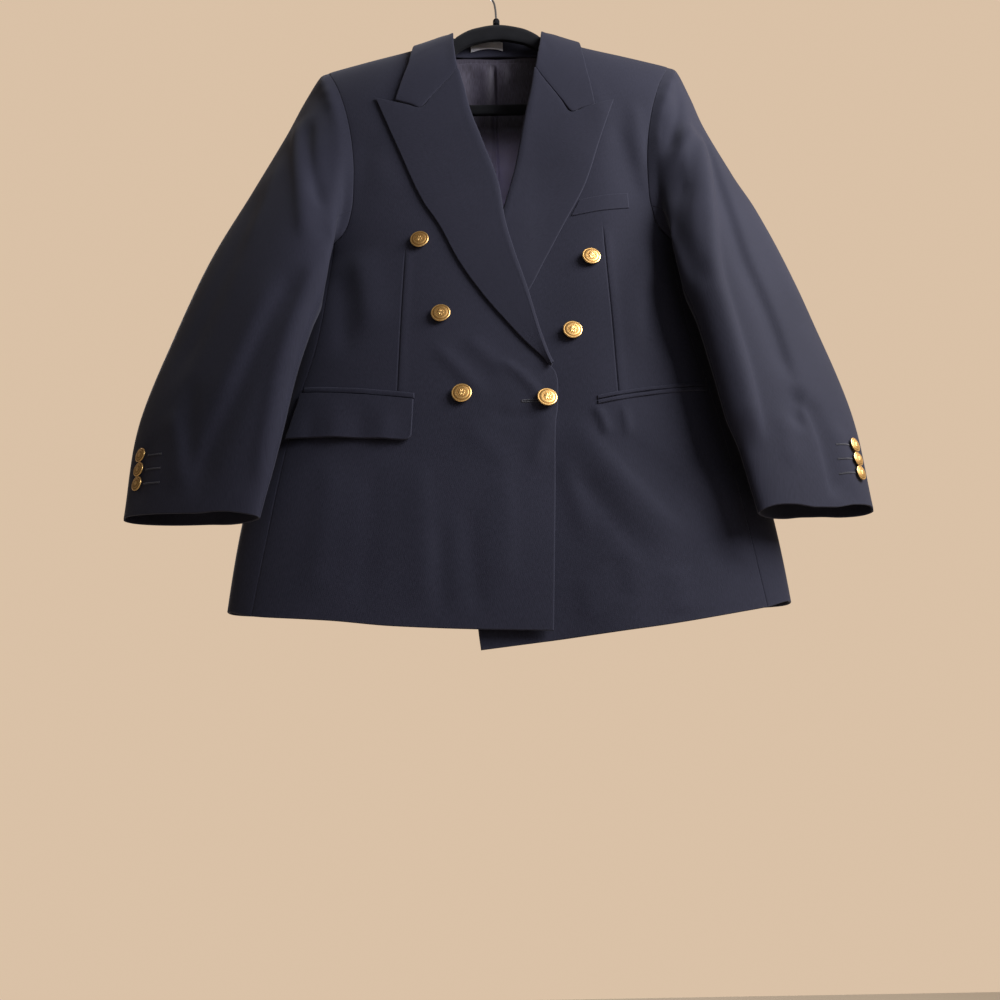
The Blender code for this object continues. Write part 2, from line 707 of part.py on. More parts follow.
def slab(name, corners, columns, rows, low, high, place_on):
    """A flat piece laid on a panel: corners run top left, top right, bottom right, bottom left."""
    a, b, c, d = (np.array(corner, float) for corner in corners)
    outer, inner = [], []
    for i in range(columns + 1):
        s = i / columns
        above, below = a + (b - a) * s, d + (c - d) * s
        line = [above + (below - above) * j / rows for j in range(rows + 1)]
        outer.append([place_on(x, z, high) for x, z in line])
        inner.append([place_on(x, z, low) for x, z in line])
    return wall(name, outer, inner)


def strip(name, start, end, height, place_on):
    """A narrow strip of cloth beside a pocket's mouth, between two points of its upper edge."""
    low = [(end[0], end[1] - height), (start[0], start[1] - height)]
    return slab(name, [start, end] + low, 10, 1, 0.0008, 0.0028, place_on)


def over(x, z, out):
    return on_front(x, z, out, False)


def beneath(x, z, out):
    return on_front(x, z, out, True)


def flap(name):
    """The flap: its lower front corner is rounded."""
    top_in, top_out = np.array([-0.0905, -0.6675]), np.array([-0.2085, -0.6475])
    low_in, low_out = np.array([-0.0920, -0.7130]), np.array([-0.2190, -0.6990])
    outer, inner = [], []
    for i in range(13):
        s = i / 12
        above, below = top_in + (top_out - top_in) * s, low_in + (low_out - low_in) * s
        below = below + [0, 0.0050 * max(0, 1 - s / 0.06) ** 2]
        line = [above + (below - above) * j / 4 for j in range(5)]
        outer.append([over(x, z, 0.0034 + 0.0004 * j) for j, (x, z) in enumerate(line)])
        inner.append([over(x, z, 0.0008) for x, z in line])
    return wall(name, outer, inner)


def lining(name):
    """The back lining where it shows, from the neck seam down, with its centre pleat."""
    outer, inner = [], []
    places = [
        -0.150, -0.120, -0.090, -0.062, -0.036, -0.016, -0.0075, -0.0030, 0.0030, 0.0075, 0.020,
        0.042, 0.066, 0.092, 0.120, 0.150,
    ]
    pleat = [0, 0, 0, 0, 0, 0, 0.0005, 0.0035, 0.0035, 0.0005, 0, 0, 0, 0, 0, 0]
    for x, lift in zip(places, pleat):
        column, back = [], []
        for fall in [0, 0.02, 0.05, 0.09, 0.14, 0.20, 0.28, 0.37, 0.48, 0.60, 0.73, 0.86, 1.0]:
            top = (back_neck(abs(x)) if abs(x) < 0.0785 else ridge(abs(x))) - 0.0045
            if abs(x) >= 0.062:
                top -= 0.010
            z = top * (1 - fall) + (back_hem(abs(x)) + 0.018) * fall
            point = np.array([x, depth(x, z, False), z])
            normal = body_normal(point)
            normal[2] = min(normal[2], 0.6)
            near = point - normal * (CLOTH + 0.0010)
            column.append(near - normal * (0.0012 + lift))
            back.append(near)
        outer.append(column)
        inner.append(back)
    return wall(name, outer, inner, "satin_lining")


def neck_label(name):
    """A bare label on the inside of the collar's stand, a little to one side as it hangs."""
    outer, inner = [], []
    for x in (-0.0350, -0.0245, -0.0140, -0.0035, 0.0070):
        low, high = base(abs(x) / 0.2), fold(abs(x) / 0.2)
        column, back = [], []
        for t in (0.24, 0.42, 0.62):
            spot = low + (high - low) * t
            spot[0] = x
            column.append(spot + [0, -0.0016, 0])
            back.append(spot + [0, -0.0008, 0])
        outer.append(column)
        inner.append(back)
    return wall(name, outer, inner, "woven_label")


# Buttons

def button_profile(radius, height):
    """A domed button with a raised rim, on a short shank."""
    return [
        (0, height), (0.80 * radius, 0.80 * height), (0.93 * radius, 0.90 * height),
        (radius, 0.62 * height), (0.86 * radius, 0.36 * height),
        (0.24 * radius, 0.30 * height), (0.24 * radius, 0), (0, 0),
    ]


def front_button(name, x, z, under, lean=(0, 0)):
    spot = on_front(x, z, 0.0005, under)
    axis = body_normal([x, -depth(x, z, True), z]) + np.array([lean[0], 0, lean[1]])
    profile = button_profile(BUTTON_RADIUS, BUTTON_HEIGHT)
    return turned(name, profile, spot, axis, 12, "gilt_metal")


def cuff_button(name, side, down, turn):
    at = sleeve_lines(side)
    spot = at(down, turn)
    along = at(down + 0.01, turn) - at(down - 0.01, turn)
    across = at(down, turn + 0.02) - at(down, turn - 0.02)
    axis = np.cross(across, along)
    axis = axis / np.linalg.norm(axis)
    if axis[1] > 0:
        axis = -axis
    flip = np.array([side, 1, 1])
    profile = button_profile(CUFF_BUTTON_RADIUS, CUFF_BUTTON_HEIGHT)
    return turned(name, profile, (spot + axis * 0.0005) * flip, axis * flip, 10, "gilt_metal")


# Hanger

arch = curve(
    (-0.030, -0.1010), (0.0, -0.0950), (0.030, -0.1010), (0.050, -0.1130), (0.0560, -0.1195), (0.062, -0.1285),
    (0.068, -0.1380), (0.074, -0.1445), (0.082, -0.1475), (0.101, ridge(0.101) - 0.0027),
)
arm_height = curve((0.0, 0.026), (0.05, 0.026), (0.10, 0.020), (0.19, 0.016), (0.21, 0.016))


def hanger_frame(name):
    """Arch, arms and trouser bar: one flat outline with the gap over the bar cut out of it."""
    spots = [
        -0.186, -0.160, -0.130, -0.101, -0.088, -0.078, -0.072, -0.066, -0.060, -0.052, -0.040,
        -0.025, -0.012, -SEAT,
    ]
    spots += [-x for x in reversed(spots)]
    outside, inside = [], []
    for x in spots:
        top = arch(abs(x)) if abs(x) < 0.101 else ridge(abs(x)) - 0.0027
        outside.append((x, top))
        inside.append((x, top - arm_height(abs(x))))
    outer_tip = [
        (0.1990, ridge(0.199) - 0.0030), (0.2040, -0.1900), (0.2060, -0.2080), (0.2040, -0.2300),
        (0.1960, -0.2440), (0.1820, -0.2475),
    ]
    inner_tip = [
        (0.1890, -0.1990), (0.1925, -0.2060), (0.1940, -0.2160), (0.1925, -0.2250),
        (0.1870, -0.2310), (0.1820, -0.2325),
    ]
    outline = bpy.data.curves.new(name, "CURVE")
    outline.dimensions = "2D"
    outline.fill_mode = "BOTH"
    outline.extrude = HANGER_THICKNESS / 2
    for loop, tip in ((outside, outer_tip), (inside, inner_tip)):
        loop = loop + tip + [(-x, z) for x, z in reversed(tip)]
        line = outline.splines.new("POLY")
        line.points.add(len(loop) - 1)
        for point, (x, z) in zip(line.points, loop):
            point.co = (x, z, 0.0, 1.0)
        line.use_cyclic_u = True
    thing = place(name, outline, "black_velvet")
    thing.rotation_euler = (math.pi / 2, 0.0, 0.0)
    return thing


def hanger_hook(name):
    """The wire hook, its inner top at the origin, with the collar that holds it in the hanger."""
    turn = 0.020 + WIRE_RADIUS
    line = [
        (-0.0010, arch(SEAT) + GAP, 2.00), (-0.0010, -0.0915, 2.93), (-0.0010, -0.0865, 2.93),
        (-0.0010, -0.0835, 2.00), (-0.0011, -0.0820, 1.0), (-0.0020, -0.0640, 1.0),
        (-0.0040, -0.0520, 1.0), (-0.0085, -0.0435, 1.0), (-0.0140, -0.0375, 1.0),
    ]
    for k in range(15):
        angle = math.radians(208 - 246 * k / 14)
        line.append((turn * math.cos(angle), -0.020 + turn * math.sin(angle), 1.0))
    wire = bpy.data.curves.new(name, "CURVE")
    wire.dimensions = "3D"
    wire.bevel_depth = WIRE_RADIUS
    wire.bevel_resolution = 2
    wire.use_fill_caps = True
    run = wire.splines.new("POLY")
    run.points.add(len(line) - 1)
    for point, (x, z, radius) in zip(run.points, line):
        point.co = (x, 0.0, z, 1.0)
        point.radius = radius
    run.use_smooth = True
    return place(name, wire, "plated_wire")


def main():
    for thing in list(bpy.data.objects):
        bpy.data.objects.remove(thing, do_unlink=True)
    parts = bpy.data.collections.new("double_breasted_blazer")
    bpy.context.scene.collection.children.link(parts)
    parts.objects.link(bpy.data.objects.new("hang_point", None))

    front("front_right", False)
    front("front_left", True)
    for side, word in ((-1, "right"), (1, "left")):
        side_panel(f"side_{word}", side)
        back_panel(f"back_{word}", side)
        sleeve(f"sleeve_top_{word}", side, False)
        sleeve(f"sleeve_under_{word}", side, True)
    lapel("lapel_right", False)
    lapel("lapel_left", True)
    collar("collar")

    strip("jetting_right", (-0.2060, -0.6404), (-0.0900, -0.6600), 0.0065, over)
    flap("pocket_flap_right")
    strip("jetting_left_upper", (0.0914, -0.6650), (0.2060, -0.6424), 0.0045, beneath)
    strip("jetting_left_lower", (0.0914, -0.6703), (0.2060, -0.6477), 0.0045, beneath)
    welt = [(0.0868, -0.4225), (0.1410, -0.4125), (0.1410, -0.4330), (0.0762, -0.4442)]
    slab("chest_welt", welt, 6, 2, 0.0006, 0.0026, beneath)

    lining("lining_back")
    neck_label("label")

    front_button("button_right_top", -0.0884, -0.4759, False)
    front_button("button_right_middle", -0.0646, -0.5703, False)
    front_button("button_right_bottom", -0.0430, -0.6635, False)
    front_button("button_left_top", 0.0947, -0.4996, True)
    front_button("button_left_middle", 0.0706, -0.5894, True)
    front_button("button_closing", 0.0407, -0.6702, False, lean=(0.10, 0.10))
    for side, word in ((-1, "right"), (1, "left")):
        for number, down in enumerate((0.905, 0.928, 0.951), 1):
            cuff_button(f"cuff_button_{word}_{number}", side, down, 0.62)

    hanger_frame("hanger_frame")
    hanger_hook("hanger_hook")


main()
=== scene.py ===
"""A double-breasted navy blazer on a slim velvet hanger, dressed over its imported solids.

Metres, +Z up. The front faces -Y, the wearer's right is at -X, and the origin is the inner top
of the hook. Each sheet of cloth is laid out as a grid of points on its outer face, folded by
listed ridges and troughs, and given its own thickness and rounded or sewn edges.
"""

import functools
import logging
import math
from dataclasses import dataclass
from enum import Enum
from typing import Callable, Optional, Sequence, Union

import bmesh
import bpy
import numpy as np
from mathutils import Euler, Matrix, Vector


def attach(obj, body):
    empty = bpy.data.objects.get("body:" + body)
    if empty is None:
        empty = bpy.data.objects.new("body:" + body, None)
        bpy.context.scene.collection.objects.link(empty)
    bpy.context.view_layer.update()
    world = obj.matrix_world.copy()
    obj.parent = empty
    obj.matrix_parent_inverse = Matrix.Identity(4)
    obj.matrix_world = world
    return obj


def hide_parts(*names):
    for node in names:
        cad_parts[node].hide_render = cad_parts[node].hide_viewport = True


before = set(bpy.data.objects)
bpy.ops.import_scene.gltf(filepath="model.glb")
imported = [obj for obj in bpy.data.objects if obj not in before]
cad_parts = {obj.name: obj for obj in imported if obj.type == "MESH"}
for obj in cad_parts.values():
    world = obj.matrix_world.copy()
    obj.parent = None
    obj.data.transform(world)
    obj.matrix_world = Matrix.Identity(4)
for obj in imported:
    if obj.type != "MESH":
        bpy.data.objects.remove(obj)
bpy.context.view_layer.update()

LOG = logging.getLogger("blazer")
Array = np.ndarray
Number = Union[float, Array]
Line = tuple[tuple[float, float], ...]

CLOTH = 0.0020
GAP = 0.0003
LAP = 0.00025  # how far each sewn edge reaches into its seam
MM = 0.001
AHEAD = np.array([0, -1.0, 0])  # the way the fronts face
# Distances from a sheet's edge, and from a mark on it, where its rows lie close together.
NEAR_EDGE = np.array([0, 0.15, 0.4, 0.7, 1.1, 1.8, 3.0, 5.0]) * MM
NEAR_MARK = np.array([0, 0.3, 0.7, 1.2, 2.0]) * MM
# How far the cloth turns in at hems, cuffs and armholes before the satin starts.
HEM_FACING = 0.038
CUFF_FACING = 0.034
ARM_ALLOWANCE = 0.050
CUFF_BUTTONS = (0.905, 0.928, 0.951)  # shares of the way down a sleeve


def ease(t: Number) -> Array:
    """Return t held to 0..1 and smoothed at both ends."""
    t = np.clip(t, 0.0, 1.0)
    return t * t * (3 - 2 * t)


def hump(t: Number, width: Number) -> Array:
    """Return a soft bump that is 1 at t = 0 and fades over width."""
    return np.exp(-((np.asarray(t, float) / width) ** 2))


def unit(vectors: Array) -> Array:
    """Return the vectors at length 1."""
    return vectors / np.maximum(np.linalg.norm(vectors, axis=-1, keepdims=True), 1e-12)


def side_word(side: int) -> str:
    """Return the wearer's side as a word: left where side is positive."""
    return "left" if side > 0 else "right"


class Curve:
    """A smooth function through a short table, level past its ends."""

    def __init__(self, *points: tuple[float, float]) -> None:
        """Take the table.

        Args:
            points: (position, value) pairs in any order.
        """
        self.xs, self.ys = (np.array(column, float) for column in zip(*sorted(points)))
        steps = np.diff(self.xs)
        slopes = np.diff(self.ys) / steps
        self.bend = np.zeros_like(self.ys)
        self.bend[0], self.bend[-1] = slopes[0], slopes[-1]
        for k in range(1, len(self.xs) - 1):
            if slopes[k - 1] * slopes[k] > 0:
                near, far = 2 * steps[k] + steps[k - 1], steps[k] + 2 * steps[k - 1]
                self.bend[k] = (near + far) / (near / slopes[k - 1] + far / slopes[k])

    def __call__(self, x: Number) -> Array:
        """Return the value at x.

        Args:
            x: one position or an array of them.

        Returns:
            The values, in the shape of x.
        """
        x = np.clip(np.asarray(x, float), self.xs[0], self.xs[-1])
        k = np.clip(np.searchsorted(self.xs, x) - 1, 0, len(self.xs) - 2)
        step = self.xs[k + 1] - self.xs[k]
        t = (x - self.xs[k]) / step
        return (
            self.ys[k] * (1 + 2 * t) * (1 - t) ** 2
            + self.bend[k] * step * t * (1 - t) ** 2
            + self.ys[k + 1] * t * t * (3 - 2 * t)
            + self.bend[k + 1] * step * t * t * (t - 1)
        )


class Path:
    """A smooth point along a table of rows that start with a position."""

    def __init__(self, *rows: Sequence[float]) -> None:
        """Take the rows.

        Args:
            rows: (position, coordinate, coordinate, ...) in rising order.
        """
        columns = list(zip(*rows))
        self.parts = [Curve(*zip(columns[0], column)) for column in columns[1:]]

    def __call__(self, s: Number) -> Array:
        """Return the point at s, its coordinates in the last axis."""
        return np.stack([part(s) for part in self.parts], axis=-1)


def through(points: Array, at: Array, places: Array) -> Array:
    """Draw a smooth line through points along the first axis.

    Args:
        points: the points, the first axis running along the line.
        at: the position of each point, rising.
        places: the positions wanted.

    Returns:
        The points at places.
    """
    at, places = np.asarray(at, float), np.asarray(places, float)
    slopes = np.empty_like(points)
    spans = np.diff(at)
    rates = np.diff(points, axis=0) / spans.reshape(-1, *([1] * (points.ndim - 1)))
    share = (spans[:-1] / (spans[:-1] + spans[1:])).reshape(-1, *([1] * (points.ndim - 1)))
    slopes[1:-1] = rates[:-1] * (1 - share) + rates[1:] * share
    slopes[0], slopes[-1] = rates[0], rates[-1]
    k = np.clip(np.searchsorted(at, places, side="right") - 1, 0, len(at) - 2)
    shape = (-1, *([1] * (points.ndim - 1)))
    span = spans[k].reshape(shape)
    t = (places - at[k]).reshape(shape) / span
    return (
        points[k] * (1 + 2 * t) * (1 - t) ** 2
        + slopes[k] * span * t * (1 - t) ** 2
        + points[k + 1] * t * t * (3 - 2 * t)
        + slopes[k + 1] * span * t * t * (t - 1)
    )


def stations(length: float, step: float, marks: Sequence[float] = ()) -> Array:
    """Spread positions over a length, close together at both ends and beside each mark.

    Args:
        length: the length in metres.
        step: the spacing away from the ends.
        marks: places along the length that need close spacing.

    Returns:
        Shares of the length, rising from 0 to 1.
    """
    inset, closest = 0.0075, 0.00012
    middle = np.linspace(inset, length - inset, max(int((length - 2 * inset) / step), 2))
    rows = [NEAR_EDGE, middle, length - NEAR_EDGE]
    for mark in marks:
        rows += [mark + NEAR_MARK, mark - NEAR_MARK]
    rows = np.unique(np.round(np.concatenate(rows), 6))
    rows = rows[(rows >= 0) & (rows <= length)]
    kept = [rows[0]]
    for row in rows[1:-1]:
        if row - kept[-1] > closest and length - row > closest:
            kept.append(row)
    return np.array([*kept, length]) / length


@dataclass(frozen=True)
class Fold:
    """A soft ridge, or a trough where rise is negative, along a line in the (x, z) plane."""

    line: Line
    rise: float
    width: float
    lean: float = 0.0
    fade: float = 0.3

    def height(self, x: Array, z: Array) -> Array:
        """Return how far the cloth moves out along its normal at each point.

        Args:
            x: the points' x.
            z: the points' z.

        Returns:
            Metres, in the shape of x.
        """
        points = np.array(self.line, float)
        if len(points) > 2:
            at = np.arange(len(points), dtype=float)
            points = through(points, at, np.linspace(0, at[-1], 5 * len(points)))
        starts, ends = points[:-1], points[1:]
        runs = np.linalg.norm(ends - starts, axis=1)
        reach = np.concatenate([[0], np.cumsum(runs)])
        near = np.full(np.shape(x), 9.0)
        along, side = np.zeros_like(near), np.ones_like(near)
        for k, (start, run) in enumerate(zip(starts, runs)):
            way = (ends[k] - start) / run
            dx, dz = x - start[0], z - start[1]
            t = np.clip(dx * way[0] + dz * way[1], 0, run)
            away = np.hypot(dx - t * way[0], dz - t * way[1])
            closer = away < near
            near = np.where(closer, away, near)
            along = np.where(closer, reach[k] + t, along)
            side = np.where(closer, np.sign(dx * way[1] - dz * way[0]), side)
        u = along / reach[-1]
        taper = ease(u / self.fade) * ease((1 - u) / self.fade) if self.fade > 0 else 1.0
        width = self.width * (1 + self.lean * side * ease(near / self.width))
        return self.rise * hump(near, width) * taper


def folded(folds: Sequence[Fold], x: Array, z: Array) -> Array:
    """Return the sum of the folds' heights at each point."""
    return sum((fold.height(x, z) for fold in folds), np.zeros(np.shape(x)))


# Folds of the fronts. Widths and rises are in metres.
FRONT_FOLDS = (
    Fold(
        ((0.0588, -0.6771), (0.0738, -0.7079), (0.1062, -0.7526), (0.1425, -0.7956),
         (0.1788, -0.8235)),
        0.0026, 0.017, 0.3,
    ),
    Fold(
        ((0.06, -0.7361), (0.0862, -0.7722), (0.1148, -0.8143), (0.1396, -0.8382)),
        -0.0016, 0.013, -0.2,
    ),
    Fold(((0.0533, -0.72), (0.0646, -0.7702), (0.0761, -0.8198)), 0.0012, 0.01),
    Fold(((0.096, -0.7023), (0.1468, -0.7476), (0.1832, -0.7824)), -0.0014, 0.019, 0.2),
    Fold(((0.096, -0.8287), (0.101, -0.8746)), -0.0008, 0.011, 0, 0.2),
    Fold(((0.07, -0.848), (0.073, -0.89)), 0.0007, 0.01, 0, 0.15),
    Fold(((0.15, -0.84), (0.156, -0.885)), 0.001, 0.014, 0, 0.15),
    Fold(((0.167, -0.4625), (0.15, -0.5204), (0.1386, -0.5796), (0.134, -0.63)), 0.0029, 0.015, 0.2),
    Fold(((0.164, -0.51), (0.162, -0.57), (0.165, -0.63)), -0.0024, 0.013),
    Fold(((0.13, -0.3), (0.143, -0.37), (0.156, -0.435)), -0.0021, 0.014, 0.2),
    Fold(((0.156, -0.27), (0.158, -0.33), (0.162, -0.39)), 0.0018, 0.01),
    Fold(((0.098, -0.23), (0.118, -0.3), (0.125, -0.37)), 0.0013, 0.014),
    Fold(((0.0463, -0.6768), (0.0313, -0.662), (0.0173, -0.644), (-0.01, -0.62)), 0.0018, 0.0055),
    Fold(((0.035, -0.684), (0.006, -0.689), (-0.018, -0.683)), -0.001, 0.007),
    Fold(((0.047, -0.676), (0.036, -0.708), (0.024, -0.748)), 0.0014, 0.009),
    Fold(((-0.0463, -0.6868), (-0.0272, -0.7083), (0.0124, -0.7528)), 0.0009, 0.012),
    Fold(((-0.006, -0.7381), (-0.0017, -0.7946), (-0.0055, -0.861)), 0.001, 0.013, 0.2, 0.2),
    Fold(((-0.0356, -0.774), (-0.0332, -0.8344), (-0.0253, -0.8885)), -0.001, 0.01, 0, 0.2),
    Fold(((-0.0628, -0.7898), (-0.0611, -0.847), (-0.0583, -0.8889)), -0.0009, 0.009, 0, 0.2),
    Fold(((-0.085, -0.7267), (-0.079, -0.8096), (-0.0796, -0.8822)), 0.0012, 0.014, 0.2, 0.2),
    Fold(((-0.13, -0.73), (-0.128, -0.8), (-0.134, -0.878)), -0.0009, 0.013, 0, 0.2),
    Fold(((-0.17, -0.72), (-0.173, -0.8), (-0.178, -0.87)), 0.001, 0.014, 0, 0.2),
    Fold(((-0.044, -0.595), (-0.02, -0.618), (0.008, -0.648)), 0.0014, 0.009),
    Fold(((-0.078, -0.6), (-0.056, -0.623), (-0.025, -0.66), (-0.012, -0.67)), 0.0016, 0.008),
    Fold(((-0.16, -0.47), (-0.145, -0.53), (-0.136, -0.595)), 0.0023, 0.015, -0.2),
    Fold(((-0.178, -0.49), (-0.168, -0.55), (-0.163, -0.62)), -0.0019, 0.012),
    Fold(((-0.146, -0.31), (-0.156, -0.38), (-0.162, -0.44)), -0.0009, 0.014),
    Fold(((-0.118, -0.415), (-0.134, -0.378), (-0.156, -0.345)), 0.0004, 0.012),
    Fold(((0.115, -0.672), (0.118, -0.69), (0.12, -0.715)), 0.0016, 0.005, 0, 0.4),
    Fold(((0.087, -0.674), (0.0945, -0.692), (0.0985, -0.71)), 0.0022, 0.0042, -0.3, 0.25),
    Fold(((0.17, -0.76), (0.19, -0.8), (0.2, -0.85)), -0.0013, 0.012, 0, 0.2),
    Fold(((0.208, -0.73), (0.214, -0.79), (0.226, -0.85)), 0.0012, 0.01, 0, 0.25),
)

# Folds of the back, which the photograph hides: the same cloth hanging from the same shoulders.
BACK_FOLDS = (
    Fold(((-0.165, -0.46), (-0.14, -0.53), (-0.118, -0.6)), 0.0038, 0.017, 0.2),
    Fold(((0.17, -0.45), (0.148, -0.515), (0.123, -0.57)), 0.0034, 0.016, 0.2),
    Fold(((-0.172, -0.53), (-0.15, -0.6), (-0.142, -0.67)), -0.003, 0.014),
    Fold(((0.176, -0.52), (0.156, -0.59), (0.15, -0.66)), -0.0032, 0.015),
    Fold(((-0.146, -0.27), (-0.154, -0.35), (-0.162, -0.42)), 0.0026, 0.015),
    Fold(((0.14, -0.26), (0.15, -0.33), (0.158, -0.4)), 0.0024, 0.016),
    Fold(((-0.118, -0.29), (-0.126, -0.36), (-0.14, -0.43)), -0.0022, 0.014),
    Fold(((0.112, -0.28), (0.118, -0.37), (0.133, -0.44)), -0.002, 0.015),
    Fold(((-0.032, -0.17), (-0.048, -0.21), (-0.052, -0.26)), 0.0016, 0.015),
    Fold(((0.04, -0.175), (0.05, -0.22), (0.047, -0.28)), 0.0014, 0.014),
    Fold(((-0.09, -0.68), (-0.096, -0.77), (-0.104, -0.87)), 0.003, 0.017, 0.2, 0.2),
    Fold(((0.083, -0.66), (0.09, -0.76), (0.095, -0.87)), 0.0028, 0.016, -0.2, 0.2),
    Fold(((-0.05, -0.71), (-0.054, -0.79), (-0.056, -0.87)), -0.0022, 0.014, 0, 0.2),
    Fold(((0.048, -0.7), (0.05, -0.78), (0.054, -0.87)), -0.0024, 0.013, 0, 0.2),
    Fold(((-0.155, -0.7), (-0.16, -0.79), (-0.172, -0.87)), -0.0024, 0.015, 0, 0.2),
    Fold(((0.148, -0.72), (0.156, -0.8), (0.166, -0.87)), -0.0022, 0.015, 0, 0.2),
)


class Body:
    """The form that the fronts, sides and backs hang on."""

    front_depth = 0.052
    back_depth = 0.043
    shoulder_drop = 0.110
    roundness = 2.3
    top_z = -0.1840
    arm_low = -0.4625  # z of the lowest point that both armhole edges share
    arm_tip = 0.2115  # x where the armhole's floor ends
    neck_side = 0.0785  # x where the shoulder seam meets the collar
    ridge = Curve(
        (0.0, -0.1250), (0.03, -0.1280), (0.066, -0.1360), (0.0785, -0.1413), (0.101, -0.1505),
        (0.16, -0.1680), (0.2140, -0.1835), (0.24, -0.1910),
    )
    half_width = Curve(
        (-0.300, 0.300), (-0.360, 0.275), (-0.410, 0.245), (-0.440, 0.2280), (-0.470, 0.2115),
        (-0.480, 0.2085), (-0.505, 0.2110), (-0.560, 0.2215), (-0.620, 0.2290), (-0.680, 0.2395),
        (-0.730, 0.2515), (-0.775, 0.2635), (-0.870, 0.2695), (-0.930, 0.2710),
    )
    arm_front = Curve(
        (-0.1840, 0.2140), (-0.215, 0.2035), (-0.250, 0.1905), (-0.295, 0.1776),
        (-0.335, 0.1700), (-0.373, 0.1662), (-0.410, 0.1655), (-0.440, 0.1690),
        (-0.456, 0.1765), (-0.4625, 0.1860),
    )
    arm_back = Curve(
        (-0.1840, 0.2140), (-0.215, 0.2065), (-0.260, 0.1970), (-0.320, 0.1880),
        (-0.380, 0.1830), (-0.420, 0.1815), (-0.450, 0.1840), (-0.4625, 0.1900),
    )
    arm_floor = Curve((0.186, -0.4625), (0.198, -0.4680), (0.2115, -0.4700))
    seam_front = Curve(
        (-0.4625, 0.1860), (-0.500, 0.1890), (-0.560, 0.1930), (-0.600, 0.1985),
        (-0.645, 0.2095), (-0.698, 0.2185), (-0.790, 0.2285), (-0.880, 0.2385),
    )
    seam_back = Curve(
        (-0.4625, 0.1900), (-0.520, 0.1830), (-0.620, 0.1800), (-0.720, 0.1860),
        (-0.880, 0.2010),
    )
    back_hem = Curve((0.0, -0.8620), (0.150, -0.8640), (0.269, -0.8680))
    back_neck = Curve((0.0, -0.1345), (0.03, -0.1352), (0.06, -0.1385), (0.0785, -0.1420))

    @classmethod
    def share(cls, x: Array, z: Array) -> Array:
        """Return how deep the section still is at x: 1 on the centre line, 0 at the side."""
        u = np.minimum(np.abs(x) / cls.half_width(z), 1.0)
        return (1 - u**cls.roundness) ** (1 / cls.roundness)

    @classmethod
    def depth(cls, x: Array, z: Array, front: bool) -> Array:
        """Return how far the front or back lies from the middle plane at (x, z).

        Args:
            x: across.
            z: height.
            front: whether it is the front.

        Returns:
            Metres, in the shape of x.
        """
        d = np.clip((cls.ridge(np.abs(x)) - z) / cls.shoulder_drop, 0.0, 1.0)
        reach = cls.front_depth if front else cls.back_depth
        return reach * cls.share(x, z) * np.sqrt(1 - (1 - d) ** 2)

    @classmethod
    def level(cls, p: Array) -> Array:
        """Return a value that is negative inside the body and 0 on its surface.

        Args:
            p: points.

        Returns:
            One value for each point.
        """
        x, y, z = p[..., 0], p[..., 1], p[..., 2]
        reach = np.where(y < 0, cls.front_depth, cls.back_depth)
        reach = reach * np.maximum(cls.share(x, z), 0.02)
        up = np.maximum(0.0, z - cls.ridge(np.abs(x)) + cls.shoulder_drop) / cls.shoulder_drop
        return np.hypot(up, y / reach) - 1

    @classmethod
    def slope(cls, p: Array) -> Array:
        """Return the gradient of level at each point.

        Args:
            p: points.

        Returns:
            Vectors in the shape of p.
        """
        step = 0.0004
        return np.stack(
            [cls.level(p + step * axis) - cls.level(p - step * axis) for axis in np.eye(3)],
            axis=-1,
        ) / (2 * step)

    @classmethod
    def normal(cls, p: Array) -> Array:
        """Return the outward unit normal of the body near each point.

        Args:
            p: points on or near the surface.

        Returns:
            Unit vectors in the shape of p.
        """
        x, y, z = p[..., 0], p[..., 1], p[..., 2]
        power = cls.roundness - 1
        reach = np.where(y < 0, cls.front_depth, cls.back_depth)
        width = cls.half_width(z)
        flat = np.stack(
            [
                np.sign(x) * np.minimum(np.abs(x) / width, 1) ** power / width,
                np.where(y < 0, -1, 1) * (np.abs(y) / reach) ** power / reach,
                np.zeros_like(x),
            ],
            axis=-1,
        )
        round_part = (cls.ridge(np.abs(x)) - z < cls.shoulder_drop)[..., None]
        return unit(np.where(round_part, cls.slope(p), flat))

    @classmethod
    def tuck(cls, x: Array, z: Array) -> Array:
        """Return how far the under front lies back where the other one laps over it."""
        return 0.0085 * ease((0.120 - x) / 0.085) * ease((-0.270 - z) / 0.120)

    @classmethod
    def front(cls, x: Number, z: Number, out: Number = 0.0, under: bool = False) -> Array:
        """Return points on the folded front.

        Args:
            x: across the front.
            z: height.
            out: metres off the outer face.
            under: whether the point is on the front that lies beneath.

        Returns:
            The points, coordinates in the last axis.
        """
        x, z = np.broadcast_arrays(np.asarray(x, float), np.asarray(z, float))
        base = np.stack([x, -cls.depth(x, z, True), z], axis=-1)
        lift = folded(FRONT_FOLDS, x, z) * ease(1.8 * cls.share(x, z))
        lift = lift * ease((cls.ridge(np.abs(x)) - z) / 0.09) + out
        if under:
            lift = lift - cls.tuck(x, z)
        return base + cls.normal(base) * lift[..., None]

    @classmethod
    def back(cls, x: Number, z: Number, out: Number = 0.0) -> Array:
        """Return points on the folded back, out metres off its outer face.

        Args:
            x: across the back.
            z: height.
            out: metres off the outer face.

        Returns:
            The points, coordinates in the last axis.
        """
        x, z = np.broadcast_arrays(np.asarray(x, float), np.asarray(z, float))
        base = np.stack([x, cls.depth(x, z, False), z], axis=-1)
        lift = folded(BACK_FOLDS, x, z) * ease(1.8 * cls.share(x, z))
        lift = lift * ease((cls.ridge(np.abs(x)) - z) / 0.05) + out
        return base + cls.normal(base) * lift[..., None]

